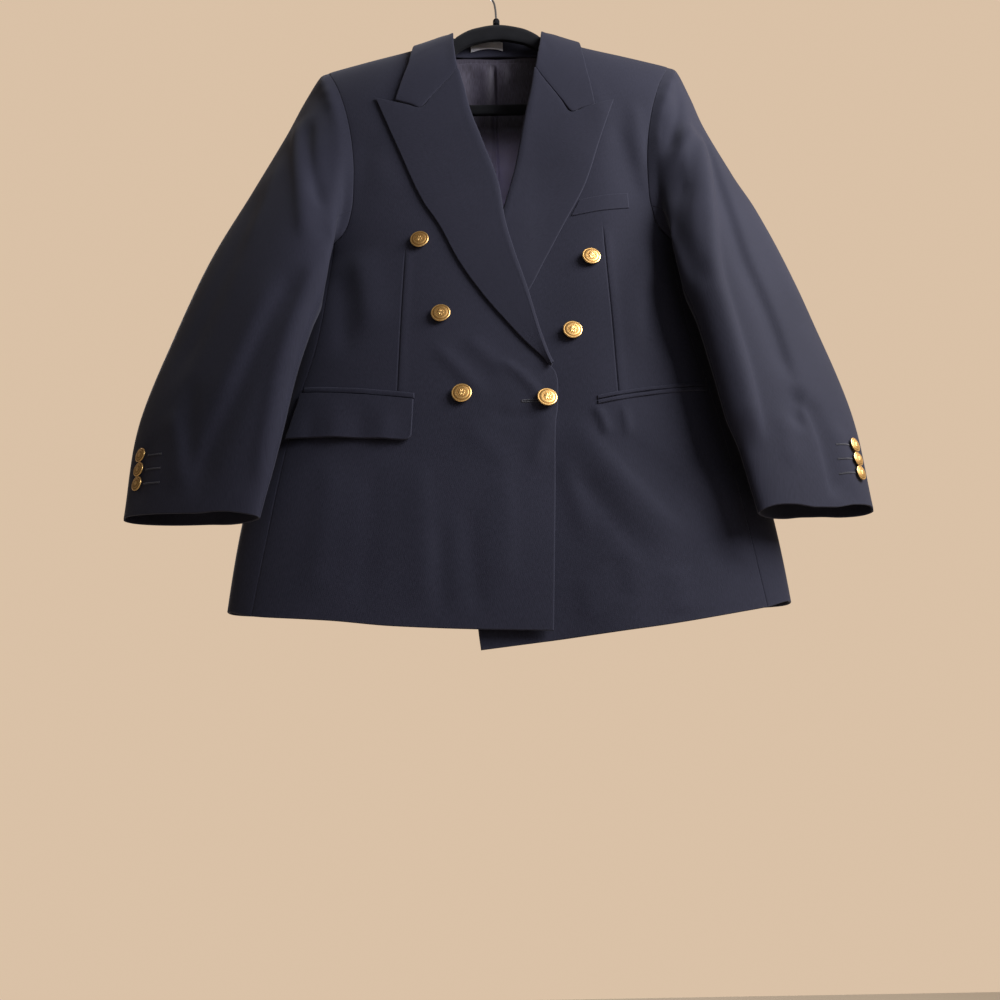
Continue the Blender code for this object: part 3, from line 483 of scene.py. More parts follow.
    @classmethod
    def clear(cls, p: Array, out: float) -> Array:
        """Return the points moved off the body where they are nearer than out to it.

        Args:
            p: points.
            out: the least distance in metres.

        Returns:
            The moved points.
        """
        for _ in range(12):
            slope = cls.slope(p)
            size = np.maximum(np.linalg.norm(slope, axis=-1), 1e-6)
            short = np.maximum(out - cls.level(p) / size, 0.0)
            p = p + slope / size[..., None] * (short * 0.8)[..., None]
        return p


# Node trees


class Signal:
    """A node's output, used in plain arithmetic."""

    def __init__(self, graph: "Graph", socket: bpy.types.NodeSocket) -> None:
        """Hold the socket and the graph it belongs to."""
        self.graph, self.socket = graph, socket

    def math(self, operation: str, *terms: Union["Signal", float]) -> "Signal":
        """Return a Math node of this signal and the terms after it."""
        values = dict(enumerate((self, *terms)))
        return self.graph.out("ShaderNodeMath", {"operation": operation}, values)

    def __add__(self, other: Union["Signal", float]) -> "Signal":
        """Return self + other."""
        return self.math("ADD", other)

    __radd__ = __add__

    def __sub__(self, other: Union["Signal", float]) -> "Signal":
        """Return self - other."""
        return self.math("SUBTRACT", other)

    def __rsub__(self, other: Union["Signal", float]) -> "Signal":
        """Return other - self."""
        return (self * -1.0) + other

    def __mul__(self, other: Union["Signal", float]) -> "Signal":
        """Return self * other."""
        return self.math("MULTIPLY", other)

    __rmul__ = __mul__

    def held(self) -> "Signal":
        """Return the signal held to 0..1."""
        return self.math("MINIMUM", 1.0).math("MAXIMUM", 0.0)


Value = Union[Signal, float, Sequence[float], bpy.types.Material]


class Graph:
    """A node tree that is filled by one method."""

    def __init__(self, tree: bpy.types.NodeTree) -> None:
        """Take an empty tree."""
        self.tree = tree

    def node(
        self, kind: str, settings: Optional[dict] = None, values: Optional[dict] = None
    ) -> bpy.types.Node:
        """Add a node.

        Args:
            kind: the node's type.
            settings: its properties, set first.
            values: a number, vector or Signal for each named or numbered socket.

        Returns:
            The node.
        """
        made = self.tree.nodes.new(kind)
        for key, setting in (settings or {}).items():
            setattr(made, key, setting)
        for key, value in (values or {}).items():
            if isinstance(value, Signal):
                self.tree.links.new(value.socket, made.inputs[key])
            else:
                made.inputs[key].default_value = value
        return made

    def out(
        self,
        kind: str,
        settings: Optional[dict] = None,
        values: Optional[dict] = None,
        output: Union[int, str] = 0,
    ) -> Signal:
        """Add a node and return one of its outputs as a Signal.

        Args:
            kind: the node's type.
            settings: its properties.
            values: a number, vector or Signal for each socket.
            output: the wanted output.

        Returns:
            The output.
        """
        return Signal(self, self.node(kind, settings, values).outputs[output])

    def mix(self, share: Union[Signal, float], a: Value, b: Value) -> Signal:
        """Return the colour a turned into b by share."""
        values = {0: share, 6: a, 7: b}
        return self.out("ShaderNodeMix", {"data_type": "RGBA"}, values, 2)

    def uv(self, turn: float, scale: Sequence[float]) -> Signal:
        """Return the cloth's own coordinates, in metres, turned and scaled."""
        flat = self.out("ShaderNodeUVMap", {"uv_map": "cloth"})
        values = {"Vector": flat, "Rotation": (0, 0, turn), "Scale": (*scale, 1.0)}
        return self.out("ShaderNodeMapping", None, values)

    def noise(self, vector: Signal, scale: float, detail: float = 2.0) -> Signal:
        """Return a noise value around 0.5."""
        values = {"Vector": vector, "Scale": scale, "Detail": detail}
        return self.out("ShaderNodeTexNoise", {"noise_dimensions": "3D"}, values)

    def attribute(self, name: str) -> Signal:
        """Return a number stored on the piece's points."""
        return self.out("ShaderNodeAttribute", {"attribute_name": name}, None, "Fac")

    def place(self) -> Signal:
        """Return the position in the piece's own frame."""
        return self.out("ShaderNodeTexCoord", None, None, "Object")


def surface(graph: Graph, constants: dict, values: dict, height: Signal, bump: dict) -> None:
    """End a material in a Principled shader.

    Args:
        graph: the material's graph.
        constants: numbers and colours set on the shader's own sockets.
        values: what varies over the surface.
        height: the relief.
        bump: the strength and distance of the relief.
    """
    relief = graph.out("ShaderNodeBump", None, {"Height": height, **bump}, "Normal")
    inputs = {**constants, **values, "Normal": relief}
    shader = graph.out("ShaderNodeBsdfPrincipled", None, inputs)
    graph.node("ShaderNodeOutputMaterial", None, {"Surface": shader})


# Finishes

Colour = tuple[float, float, float, float]


class Finish:
    """A finish whose material is built when it is first asked for."""

    name: str

    @functools.lru_cache(maxsize=None)
    def material(self) -> bpy.types.Material:
        """Return the finish's material.

        Returns:
            The same material each time.
        """
        material = bpy.data.materials.new(self.name)
        material.use_nodes = True
        material.node_tree.nodes.clear()
        self.paint(Graph(material.node_tree))
        return material

    def paint(self, g: Graph) -> None:
        """Fill the material's node tree."""
        raise NotImplementedError


@dataclass(frozen=True)
class Worsted(Finish):
    """Fine wool twill, its sewn edges a little paler, partly from rubbing and partly as a painted
    highlight.
    """

    name: str = "navy_worsted"
    yarn: Colour = (0.0058, 0.0062, 0.0125, 1.0)
    fleck: Colour = (0.0210, 0.0215, 0.0370, 1.0)
    rubbed_and_sheen: Colour = (0.0600, 0.0620, 0.0880, 1.0)
    rib: float = 0.0011
    sheen: float = 0.07

    def paint(self, g: Graph) -> None:
        """Fill the material's node tree.

        Args:
            g: the tree's graph.
        """
        along = g.uv(math.radians(52), (1 / self.rib, 0.30 / self.rib))
        ribs = g.out("ShaderNodeSeparateXYZ", None, {0: along}, "X")
        twill = (ribs * math.tau).math("SINE") * 0.5 + 0.5
        yarn = g.noise(along, 1.0, 3.0)
        patch = g.noise(g.place(), 7.0, 3.0)
        slub = g.noise(g.uv(0.0, (900.0, 160.0)), 1.0, 2.0)
        share = (yarn * 0.7 + slub * 0.5 + patch * 0.5 - 0.42).held()
        colour = g.mix(share, self.yarn, self.fleck)
        # Paler edges: partly rubbed wear, partly a painted highlight where light catches the pressed
        # edge.
        wear_and_sheen = (g.attribute("wear_and_sheen") * (0.6 + patch * 0.6)).held()
        colour = g.mix(wear_and_sheen * 0.09, colour, self.rubbed_and_sheen)
        height = twill * 0.35 + yarn * 0.8 + slub * 0.4
        constants = {
            "Specular IOR Level": 0.12, "Sheen Weight": self.sheen, "Sheen Roughness": 0.42,
            "Sheen Tint": (0.80, 0.84, 1.0, 1.0),
        }
        values = {"Base Color": colour, "Roughness": 0.74 + yarn * 0.16}
        surface(g, constants, values, height, {"Strength": 0.35, "Distance": 0.00018})


@dataclass(frozen=True)
class Satin(Finish):
    """The lining: dark purplish satin with long floats that catch the light, and a painted band of
    light across its lower part.
    """

    name: str = "satin_lining"
    deep: Colour = (0.0150, 0.0125, 0.0180, 1.0)
    lit: Colour = (0.4400, 0.4100, 0.6200, 1.0)

    def paint(self, g: Graph) -> None:
        """Fill the material's node tree.

        Args:
            g: the tree's graph.
        """
        floats = g.noise(g.uv(0.0, (1500.0, 110.0)), 1.0, 2.0)
        patch = g.noise(g.place(), 11.0, 2.0)
        # Painted light: between z -0.23 and -0.52, fullest from -0.30 to -0.40, the satin is mixed
        # towards the lit colour to stand for light falling on the lining low in the neck.
        low = g.out("ShaderNodeSeparateXYZ", None, {0: g.place()}, "Z")
        low = (low * -14.0 - 3.2).held() * (low * 8.0 + 4.2).held()
        share = (floats * 0.2 + patch * 0.3 - 0.23 + low * 0.9).held()
        colour = g.mix(share, self.deep, self.lit)
        constants = {
            "Specular IOR Level": 0.18, "Sheen Weight": 0.10, "Sheen Roughness": 0.4,
            "Sheen Tint": (0.95, 0.85, 1.0, 1.0),
        }
        values = {"Base Color": colour, "Roughness": 0.52 + floats * 0.14}
        surface(g, constants, values, floats, {"Strength": 0.22, "Distance": 0.00012})


@dataclass(frozen=True)
class LabelWeave(Finish):
    """Bare woven ribbon with fine crosswise ribs."""

    name: str = "woven_label"
    ground: Colour = (0.3400, 0.3400, 0.3800, 1.0)
    pick: Colour = (0.6000, 0.6000, 0.6600, 1.0)

    def paint(self, g: Graph) -> None:
        """Fill the material's node tree.

        Args:
            g: the tree's graph.
        """
        across = g.out("ShaderNodeSeparateXYZ", None, {0: g.uv(0.0, (1600.0, 1250.0))}, "Y")
        ribs = (across * math.tau).math("SINE") * 0.5 + 0.5
        grain = g.noise(g.uv(0.0, (1100.0, 1100.0)), 1.0, 2.0)
        colour = g.mix((ribs * 0.45 + grain * 0.6 - 0.2).held(), self.ground, self.pick)
        constants = {"Specular IOR Level": 0.35, "Sheen Weight": 0.1}
        values = {"Base Color": colour, "Roughness": 0.55 + grain * 0.15}
        surface(g, constants, values, ribs + grain, {"Strength": 0.4, "Distance": 0.0002})


@dataclass(frozen=True)
class Gilt(Finish):
    """Stamped gilt metal, bright on the relief and browner in its hollows."""

    name: str = "gilt_metal"
    bright: Colour = (0.960, 0.640, 0.260, 1.0)
    hollow: Colour = (0.300, 0.150, 0.040, 1.0)

    def paint(self, g: Graph) -> None:
        """Fill the material's node tree.

        Args:
            g: the tree's graph.
        """
        grain = g.noise(g.place(), 1400.0, 3.0)
        tarnish = g.noise(g.place(), 260.0, 2.0)
        low = (g.attribute("hollow") * 1.1 + tarnish * 0.35 - 0.18).held()
        colour = g.mix(low, self.bright, self.hollow)
        values = {"Base Color": colour, "Roughness": 0.24 + low * 0.25 + grain * 0.08}
        surface(g, {"Metallic": 1.0}, values, grain, {"Strength": 0.12, "Distance": 0.0001})


@dataclass(frozen=True)
class Velvet(Finish):
    """Black flocking over the hanger."""

    name: str = "black_velvet"
    pile: Colour = (0.0040, 0.0042, 0.0052, 1.0)
    brushed: Colour = (0.0085, 0.0090, 0.0110, 1.0)

    def paint(self, g: Graph) -> None:
        """Fill the material's node tree.

        Args:
            g: the tree's graph.
        """
        flock = g.noise(g.place(), 2200.0, 2.0)
        brush = g.noise(g.place(), 34.0, 3.0)
        colour = g.mix((brush * 1.3 - 0.35 + flock * 0.3).held(), self.pile, self.brushed)
        constants = {
            "Specular IOR Level": 0.06, "Sheen Weight": 0.10, "Sheen Roughness": 0.35,
            "Sheen Tint": (0.75, 0.74, 0.76, 1.0),
        }
        values = {"Base Color": colour, "Roughness": 0.9 + flock * 0.1}
        surface(g, constants, values, flock, {"Strength": 0.6, "Distance": 0.0003})


@dataclass(frozen=True)
class Wire(Finish):
    """Plated steel wire with fine drawing lines."""

    name: str = "plated_wire"
    plate: Colour = (0.640, 0.640, 0.655, 1.0)
    dull: Colour = (0.400, 0.395, 0.390, 1.0)

    def paint(self, g: Graph) -> None:
        """Fill the material's node tree.

        Args:
            g: the tree's graph.
        """
        lines = g.noise(g.uv(0.0, (60.0, 2600.0)), 1.0, 2.0)
        patch = g.noise(g.place(), 90.0, 3.0)
        colour = g.mix((patch * 1.4 - 0.4).held(), self.plate, self.dull)
        values = {"Base Color": colour, "Roughness": 0.16 + patch * 0.16 + lines * 0.05}
        surface(g, {"Metallic": 1.0}, values, lines, {"Strength": 0.1, "Distance": 0.0001})


@dataclass(frozen=True)
class Thread(Finish):
    """Twisted sewing thread."""

    name: str = "sewing_thread"
    ply: Colour = (0.0120, 0.0125, 0.0200, 1.0)
    lit: Colour = (0.0320, 0.0330, 0.0470, 1.0)

    def paint(self, g: Graph) -> None:
        """Fill the material's node tree.

        Args:
            g: the tree's graph.
        """
        twist = g.noise(g.place(), 3500.0, 2.0)
        colour = g.mix(twist, self.ply, self.lit)
        constants = {"Specular IOR Level": 0.35, "Sheen Weight": 0.1}
        values = {"Base Color": colour, "Roughness": 0.5 + twist * 0.2}
        surface(g, constants, values, twist, {"Strength": 0.3, "Distance": 0.0001})


@dataclass(frozen=True)
class PaleFloor(Finish):
    """Plain pale matt floor."""

    name: str = "pale_floor"
    tone: Colour = (0.74, 0.66, 0.54, 1.0)
    shade: Colour = (0.66, 0.59, 0.49, 1.0)

    def paint(self, g: Graph) -> None:
        """Fill the material's node tree.

        Args:
            g: the tree's graph.
        """
        cloud = g.noise(g.place(), 1.2, 3.0)
        colour = g.mix(cloud, self.tone, self.shade)
        surface(g, {"Roughness": 0.8}, {"Base Color": colour}, cloud, {"Strength": 0.02})


WORSTED, SATIN, LABEL, GILT = Worsted(), Satin(), LabelWeave(), Gilt()
VELVET, WIRE, FLOOR = Velvet(), Wire(), PaleFloor()
NAVY_THREAD = Thread()
LABEL_THREAD = Thread("label_thread", (0.030, 0.029, 0.034, 1.0), (0.075, 0.072, 0.080, 1.0))


# Meshes


class Edge(Enum):
    """How an edge of a sheet of cloth is finished."""

    FREE = "turned and pressed"
    SEAM = "sewn to its neighbour"
    RAW = "hidden"


ALL_FREE = (Edge.FREE, Edge.FREE, Edge.FREE, Edge.FREE)
SEWN_PANEL = (Edge.SEAM, Edge.SEAM, Edge.SEAM, Edge.FREE)


def grid_normals(grid: Array, toward: Array) -> Array:
    """Return the unit normals of a grid of points.

    Args:
        grid: points in columns and rows.
        toward: a vector, or one for each point, on the side that the normals face.

    Returns:
        Unit normals in the shape of grid.
    """
    normals = unit(np.cross(np.gradient(grid, axis=0), np.gradient(grid, axis=1)))
    return normals if np.sum(normals * toward) > 0 else -normals


def new_object(
    name: str,
    points: Array,
    faces: Array,
    finishes: Sequence[bpy.types.Material],
    uvs: Optional[Array] = None,
    slots: Optional[Array] = None,
    marks: Optional[dict[str, Array]] = None,
) -> bpy.types.Object:
    """Make a smooth mesh object.

    Args:
        name: the piece's name.
        points: its points.
        faces: four point numbers a face.
        finishes: its materials.
        uvs: two coordinates for each point.
        slots: the material number of each face.
        marks: named numbers for each point.

    Returns:
        The object, in the scene's collection.
    """
    mesh = bpy.data.meshes.new(name)
    faces = np.asarray(faces, np.int32)
    mesh.vertices.add(len(points))
    mesh.vertices.foreach_set("co", np.asarray(points, np.float32).ravel())
    mesh.loops.add(faces.size)
    mesh.loops.foreach_set("vertex_index", faces.ravel())
    mesh.polygons.add(len(faces))
    starts = np.arange(0, faces.size, faces.shape[1], dtype=np.int32)
    mesh.polygons.foreach_set("loop_start", starts)
    if slots is not None:
        mesh.polygons.foreach_set("material_index", np.asarray(slots, np.int32))
    if uvs is not None:
        layer = mesh.uv_layers.new(name="cloth")
        layer.data.foreach_set("uv", np.asarray(uvs, np.float32)[faces.ravel()].ravel())
    for key, numbers in (marks or {}).items():
        mark = mesh.attributes.new(key, "FLOAT", "POINT")
        mark.data.foreach_set("value", np.asarray(numbers, np.float32).ravel())
    for finish in finishes:
        mesh.materials.append(finish)
    mesh.update(calc_edges=True)
    mesh.validate()
    mesh.shade_smooth()
    thing = bpy.data.objects.new(name, mesh)
    bpy.context.scene.collection.objects.link(thing)
    return thing


def quads(columns: int, rows: int, start: int = 0, round_: bool = False) -> Array:
    """Return the faces of a grid of points.

    Args:
        columns: how many columns.
        rows: how many rows in each.
        start: the number of the first point.
        round_: whether the last column joins the first.

    Returns:
        Four point numbers a face.
    """
    i, j = np.meshgrid(
        np.arange(columns if round_ else columns - 1), np.arange(rows - 1), indexing="ij"
    )
    a, b = start + i * rows + j, start + (i + 1) % columns * rows + j
    return np.stack([a, b, b + 1, a + 1], axis=-1).reshape(-1, 4)


@dataclass
class Sheet:
    """One piece of cloth as a closed wall under a grid of points of its outer face.

    The edges run: first column, last column, first row, last row.
    """

    name: str
    grid: Array
    toward: Array
    edges: tuple[Edge, Edge, Edge, Edge]
    thick: float = CLOTH
    lined: bool = False
    facing: float = 0.0
    allowance: float = 0.0
    finish: Finish = WORSTED

    def reaches(self) -> list[Array]:
        """Return each point's distance from the four edges, measured in the cloth.

        Returns:
            One array for each edge, in the order of edges.
        """
        found = []
        for axis in (0, 1):
            steps = np.linalg.norm(np.diff(self.grid, axis=axis), axis=-1)
            pad = [(0, 0), (0, 0)]
            pad[axis] = (1, 0)
            run = np.pad(np.cumsum(steps, axis=axis), pad)
            total = np.take(run, [-1], axis=axis)
            found += [run, total - run]
        return found

    def make(self) -> bpy.types.Object:
        """Build the piece's object with its materials, coordinates and marks.

        Returns:
            The object.
        """
        near = self.reaches()
        half = self.thick / 2
        outer_dip, inner_dip = np.zeros(self.grid.shape[:2]), np.zeros(self.grid.shape[:2])
        wear_and_sheen = np.zeros(self.grid.shape[:2])
        for edge, away in zip(self.edges, near):
            if edge is Edge.FREE:
                u = np.clip(1 - away / half, 0, 1)
                dip = half * (1 - np.sqrt(1 - u * u)) * 0.94
                outer_dip, inner_dip = np.maximum(outer_dip, dip), np.maximum(inner_dip, dip)
                # Paler band along a free edge: partly wear, partly a painted highlight where light
                # catches the rim.
                wear_and_sheen = np.maximum(wear_and_sheen, hump(away - 0.0003, 0.0010))
            elif edge is Edge.SEAM:
                dip = 0.00075 * np.clip(1 - away / 0.0014, 0, 1) ** 2
                outer_dip = np.maximum(outer_dip, dip + 0.00025 * hump(away, 0.004))
        normals = grid_normals(self.grid, self.toward)
        outer = self.grid - normals * outer_dip[..., None]
        inner = self.grid - normals * (self.thick - inner_dip)[..., None]
        columns, rows = self.grid.shape[:2]
        count = columns * rows
        top = quads(columns, rows)
        middle = (columns // 2) * rows + rows // 2
        a, b, c = outer.reshape(-1, 3)[[middle, middle + rows, middle + rows + 1]]
        turned = np.dot(np.cross(b - a, c - a), normals.reshape(-1, 3)[middle]) < 0
        if turned:
            top = top[:, ::-1]
        low = top[:, ::-1] + count
        rim = np.concatenate([
            np.arange(columns) * rows, (columns - 1) * rows + np.arange(1, rows),
            np.arange(columns - 2, -1, -1) * rows + rows - 1, np.arange(rows - 2, 0, -1),
        ])
        after = np.roll(rim, -1)
        side = np.stack([after, rim, rim + count, after + count], axis=-1)
        if turned:
            side = side[:, ::-1]
        faces = np.concatenate([top, low, side])
        uv = np.stack([near[0], -near[2]], axis=-1).reshape(-1, 2)
        uv = np.concatenate([uv, uv])
        slots = np.zeros(len(faces), int)
        finishes = [self.finish.material()]
        if self.lined:
            finishes.append(SATIN.material())
            bare = (near[3] < self.facing) | (near[2] < self.allowance)
            hem = bare[:-1, :-1].reshape(-1)
            slots[len(top):2 * len(top)] = np.where(hem, 0, 1)
        marks = {"wear_and_sheen": np.concatenate([wear_and_sheen.ravel(), wear_and_sheen.ravel() * 0.5])}
        return new_object(
            self.name, np.concatenate([outer.reshape(-1, 3), inner.reshape(-1, 3)]), faces,
            finishes, uv, slots, marks,
        )

    def size(self) -> tuple[float, float, float]:
        """Return the sheet's widest width, its longest length and its area, laid flat.

        Returns:
            Metres, metres and square metres.
        """
        near = self.reaches()
        g = self.grid
        cross = np.cross(g[1:, 1:] - g[:-1, :-1], g[1:, :-1] - g[:-1, 1:])
        area = np.linalg.norm(cross, axis=-1).sum() / 2
        return float(near[0].max()), float(near[2].max()), float(area)


@dataclass(frozen=True)
class Cut:
    """The flat cut of a piece of cloth: width, length and area, with how it is held."""

    width: float
    length: float
    area: float
    held: str = "hung"


def report(thing: bpy.types.Object, nodes: Sequence[str]) -> bpy.types.Object:
    """Put a finished piece on the body in place of its solids.

    Args:
        thing: the piece.
        nodes: the solids it stands for.

    Returns:
        The piece.
    """
    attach(thing, "root")
    if nodes:
        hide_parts(*nodes)
    LOG.info("%s: %d faces", thing.name, len(thing.data.polygons))
    return thing


def sew(
    sheet: Sheet, node: str
) -> None:
    """Make a sheet, put it in place of its solid and log its laid-flat size.

    Args:
        sheet: the piece of cloth.
        node: the solid that it stands for.
    """
    thing = report(sheet.make(), [node])
    LOG.info("%s measures %.3f x %.3f, %.4f", sheet.name, *sheet.size())


# Fronts, sides and backs

OVER_ROLL = Curve(
    (-0.2345, -0.0472), (-0.2590, -0.0425), (-0.2900, -0.0377), (-0.3450, -0.0220),
    (-0.4090, -0.0040), (-0.4569, 0.0023), (-0.4936, 0.0106), (-0.5433, 0.0241),
    (-0.5974, 0.0367), (-0.6268, 0.0455), (-0.6381, 0.0506), (-0.6507, 0.0528),
    (-0.6770, 0.0517), (-0.6960, 0.0489), (-0.7764, 0.0450), (-0.8981, 0.0386),
)
UNDER_ROLL = Curve(
    (-0.2345, 0.0425), (-0.2700, 0.0385), (-0.3155, 0.0302), (-0.3735, 0.0196),
    (-0.4450, 0.0015), (-0.5020, -0.0135), (-0.5770, -0.0330), (-0.6250, -0.0455),
    (-0.6380, -0.0475), (-0.7000, -0.0440), (-0.8000, -0.0360), (-0.8970, -0.0284),
    (-0.9134, -0.0262),
)
NECK_X = Curve(
    (-0.1413, 0.0785), (-0.1500, 0.0750), (-0.1650, 0.0702), (-0.1800, 0.0655),
    (-0.2000, 0.0600), (-0.2200, 0.0564), (-0.2345, 0.0522),
)
OVER_HEM = Curve(
    (-0.2690, -0.8710), (-0.2242, -0.8785), (-0.1885, -0.8822), (-0.1603, -0.8850),
    (-0.1062, -0.8915), (-0.0293, -0.8962), (0.0386, -0.8985),
)
UNDER_HEM = Curve(
    (-0.0262, -0.9134), (0.0552, -0.9042), (0.1325, -0.8950), (0.2062, -0.8825),
    (0.2457, -0.8742), (0.2690, -0.8670),
)
ROLL_TOP = -0.2345
LAPEL_FOOT = -0.6250
LAPEL_END = -0.6365


def shoulder_falls(height: float, step: float) -> Array:
    """Spread rows from the shoulder seam to the hem, close together where the shoulder rounds.

    Args:
        height: from the seam to the hem.
        step: the spacing down the flat of the panel.

    Returns:
        Shares of the height, rising from 0 to 1.
    """
    turn = np.concatenate([
        NEAR_EDGE / 0.05,
        np.linspace(0.15, math.pi / 2, 32),
    ])
    top = Body.shoulder_drop * (1 - np.cos(turn))
    low = stations(height - Body.shoulder_drop, step)[len(NEAR_EDGE):] * (height - Body.shoulder_drop)
    return np.concatenate([top, Body.shoulder_drop + low]) / height


@dataclass
class FrontPanel:
    """A front from its shoulder seam to its hem, with its dart."""

    side: int
    dart: Line
    cut: Cut
    step: float = 0.0030

    @property
    def under(self) -> bool:
        """Whether this front lies beneath the other one."""
        return self.side > 0

    def inner_edge(self, z: Array) -> Array:
        """Return x of the neckline, of the line beside the roll and of the closing edge.

        Args:
            z: heights.

        Returns:
            The inner edge's x at each height.
        """
        roll = (UNDER_ROLL if self.under else OVER_ROLL)(z)
        roll = roll + self.side * 0.0038 * (1 - ease((LAPEL_FOOT - z) / 0.016))
        return np.where(z > ROLL_TOP, self.side * NECK_X(z), roll)

    def grid(self) -> Array:
        """Return the points of the outer face, columns from the closing edge outwards.

        Returns:
            The points, coordinates in the last axis.
        """
        hem = UNDER_HEM if self.under else OVER_HEM
        dart_x = Curve(*[(z, x) for x, z in self.dart])
        low, high = self.dart[-1][1], self.dart[0][1]
        middle, wide = 0.60, 0.24
        across = stations(wide, self.step, [middle * wide])
        s0, fall = np.meshgrid(across, shoulder_falls(0.72, self.step * 1.15), indexing="ij")
        z = -0.168 - 0.70 * fall
        for _ in range(30):
            start = self.inner_edge(z)
            z_outer = np.where(z > Body.arm_low, Body.arm_front(z), Body.seam_front(z))
            end = self.side * (z_outer + LAP)
            spot = np.clip((dart_x(z) - start) / (end - start), 0.40, 0.66)
            outer = 1 - (1 - s0) * (1 - spot) / (1 - middle)
            s = np.where(s0 < middle, s0 * spot / middle, outer)
            x = start + (end - start) * s
            z = Body.ridge(np.abs(x)) * (1 - fall) + hem(x) * fall
        sewn = ease((high - z) / 0.030) * ease((z - low) / 0.004)
        beside = x - dart_x(z)
        pinch = -0.00075 * hump(beside, 0.0007) + 0.0006 * hump(beside - 0.004, 0.004)
        grid = Body.front(x, z, pinch * sewn, self.under)
        grid[..., 1] = np.minimum(grid[..., 1], 0.0001)
        return grid

    def build(self) -> None:
        """Make the front and log its size."""
        word = side_word(self.side)
        sheet = Sheet(
            f"cloth_front_{word}", self.grid(), AHEAD,
            (Edge.FREE, Edge.SEAM, Edge.SEAM, Edge.FREE), lined=True, facing=HEM_FACING,
        )
        sew(sheet, f"front_{word}")


@dataclass
class SidePanel:
    """The narrow panel under the arm, between front and back."""

    side: int
    cut: Cut
    step: float = 0.0036

    def grid(self) -> Array:
        """Return the points of the outer face, columns from front to back.

        Returns:
            The points, coordinates in the last axis.
        """
        hem = OVER_HEM if self.side < 0 else UNDER_HEM
        share, t = np.meshgrid(
            stations(0.135, self.step), stations(0.40, self.step), indexing="ij"
        )
        z = Body.arm_low - 0.42 * t
        power = Body.roundness / 2
        for _ in range(25):
            wide = Body.half_width(z)
            first = np.arccos(np.minimum((Body.seam_front(z) - LAP) / wide, 1) ** power)
            last = np.arccos(np.minimum((Body.seam_back(z) - LAP) / wide, 1) ** power)
            turn = first - (first + last) * share
            x = wide * np.cos(turn) ** (1 / power)
            foot = hem(self.side * x)
            ahead = foot + (Body.back_hem(x) - foot) * ease(1 - turn / first)
            foot = np.where(turn > 0, ahead, Body.back_hem(x))
            top = Body.arm_floor(x) - 0.0016 * ease((x - 0.190) / 0.018)
            z = top * (1 - t) + foot * t
        reach = np.where(turn > 0, Body.front_depth, Body.back_depth)
        y = -np.sign(turn) * reach * np.abs(np.sin(turn)) ** (1 / power)
        base = np.stack([x, y, z], axis=-1)
        share_in = ease(1.8 * Body.share(x, z))
        lift = np.where(
            turn > 0, folded(FRONT_FOLDS, self.side * x, z), folded(BACK_FOLDS, self.side * x, z)
        )
        grid = base + Body.normal(base) * (lift * share_in)[..., None]
        return grid * [self.side, 1, 1]

    def build(self) -> None:
        """Make the side panel and log its size."""
        word = side_word(self.side)
        sheet = Sheet(
            f"cloth_side_{word}", self.grid(), np.array([self.side, 0, 0]),
            (Edge.SEAM, Edge.SEAM, Edge.RAW, Edge.FREE), lined=True, facing=HEM_FACING,
        )
        sew(sheet, f"side_{word}")


@dataclass
class BackPanel:
    """Half of the back, from neck and shoulder to the hem."""

    side: int
    cut: Cut
    step: float = 0.0042

    def grid(self) -> Array:
        """Return the points of the outer face, columns from the centre seam outwards.

        Returns:
            The points, coordinates in the last axis.
        """
        s, fall = np.meshgrid(
            stations(0.20, self.step), shoulder_falls(0.72, self.step), indexing="ij"
        )
        z = -0.16 - 0.70 * fall
        for _ in range(30):
            edge = np.where(z > Body.arm_low, Body.arm_back(z), Body.seam_back(z)) + LAP
            x = (edge + LAP) * s - LAP
            top = np.where(x < Body.neck_side, Body.back_neck(np.abs(x)), Body.ridge(np.abs(x)))
            z = top * (1 - fall) + Body.back_hem(np.abs(x)) * fall
        grid = Body.back(self.side * x, z)
        grid[..., 1] = np.maximum(grid[..., 1], -0.0001)
        return grid

    def build(self) -> None:
        """Make the back panel and log its size."""
        word = side_word(self.side)
        sheet = Sheet(
            f"cloth_back_{word}", self.grid(), -AHEAD, SEWN_PANEL, lined=True, facing=HEM_FACING,
        )
        sew(sheet, f"back_{word}")


# Lapels and collar

OVER_LAPEL = Path(
    (0.0, -0.1445, -0.2713), (0.16, -0.1160, -0.3480), (0.33, -0.0850, -0.4270),
    (0.41, -0.0686, -0.4560), (0.53, -0.0458, -0.5068), (0.66, -0.0196, -0.5510),
    (0.76, 0.0015, -0.5802), (0.87, 0.0223, -0.6070), (0.94, 0.0359, -0.6218),
    (1.0, 0.0493, -0.6365),
)
UNDER_LAPEL = Path(
    (0.0, 0.1335, -0.2808), (0.16, 0.1139, -0.3400), (0.33, 0.0933, -0.4040),
    (0.46, 0.0665, -0.4583), (0.58, 0.0444, -0.5033), (0.69, 0.0248, -0.5433),
    (0.78, 0.0040, -0.5700), (0.88, -0.0180, -0.5970), (0.95, -0.0345, -0.6140),
    (1.0, -0.0450, -0.6260),
)
OVER_NOTCH, UNDER_NOTCH = np.array([-0.0901, -0.2918]), np.array([0.0818, -0.3016])
# Section of the roll: metres outwards from the roll line, metres off the front's face.
ROLL = (
    (0.0030, -0.0020), (0.0, -0.0020), (-0.0024, -0.0008), (-0.0033, 0.0015), (-0.0020, 0.0040),
    (0.0012, 0.0050),
)
NOTCH_SHARE = 0.556
# Section of the leaf: share of the way to its edge, metres off the front's face.
LEAF = (
    (0.12, 0.0050), (0.28, 0.0047), (0.42, 0.0044), (NOTCH_SHARE, 0.0041), (0.70, 0.0037),
    (0.85, 0.0033), (1.0, 0.0028),
)
# Where the section's points lie along it, and how many columns each stretch gets.
SECTION_AT = (0, 3, 5.6, 8.1, 10.9, 14.2, 22, 36, 50, 64, 78, 92, 106)


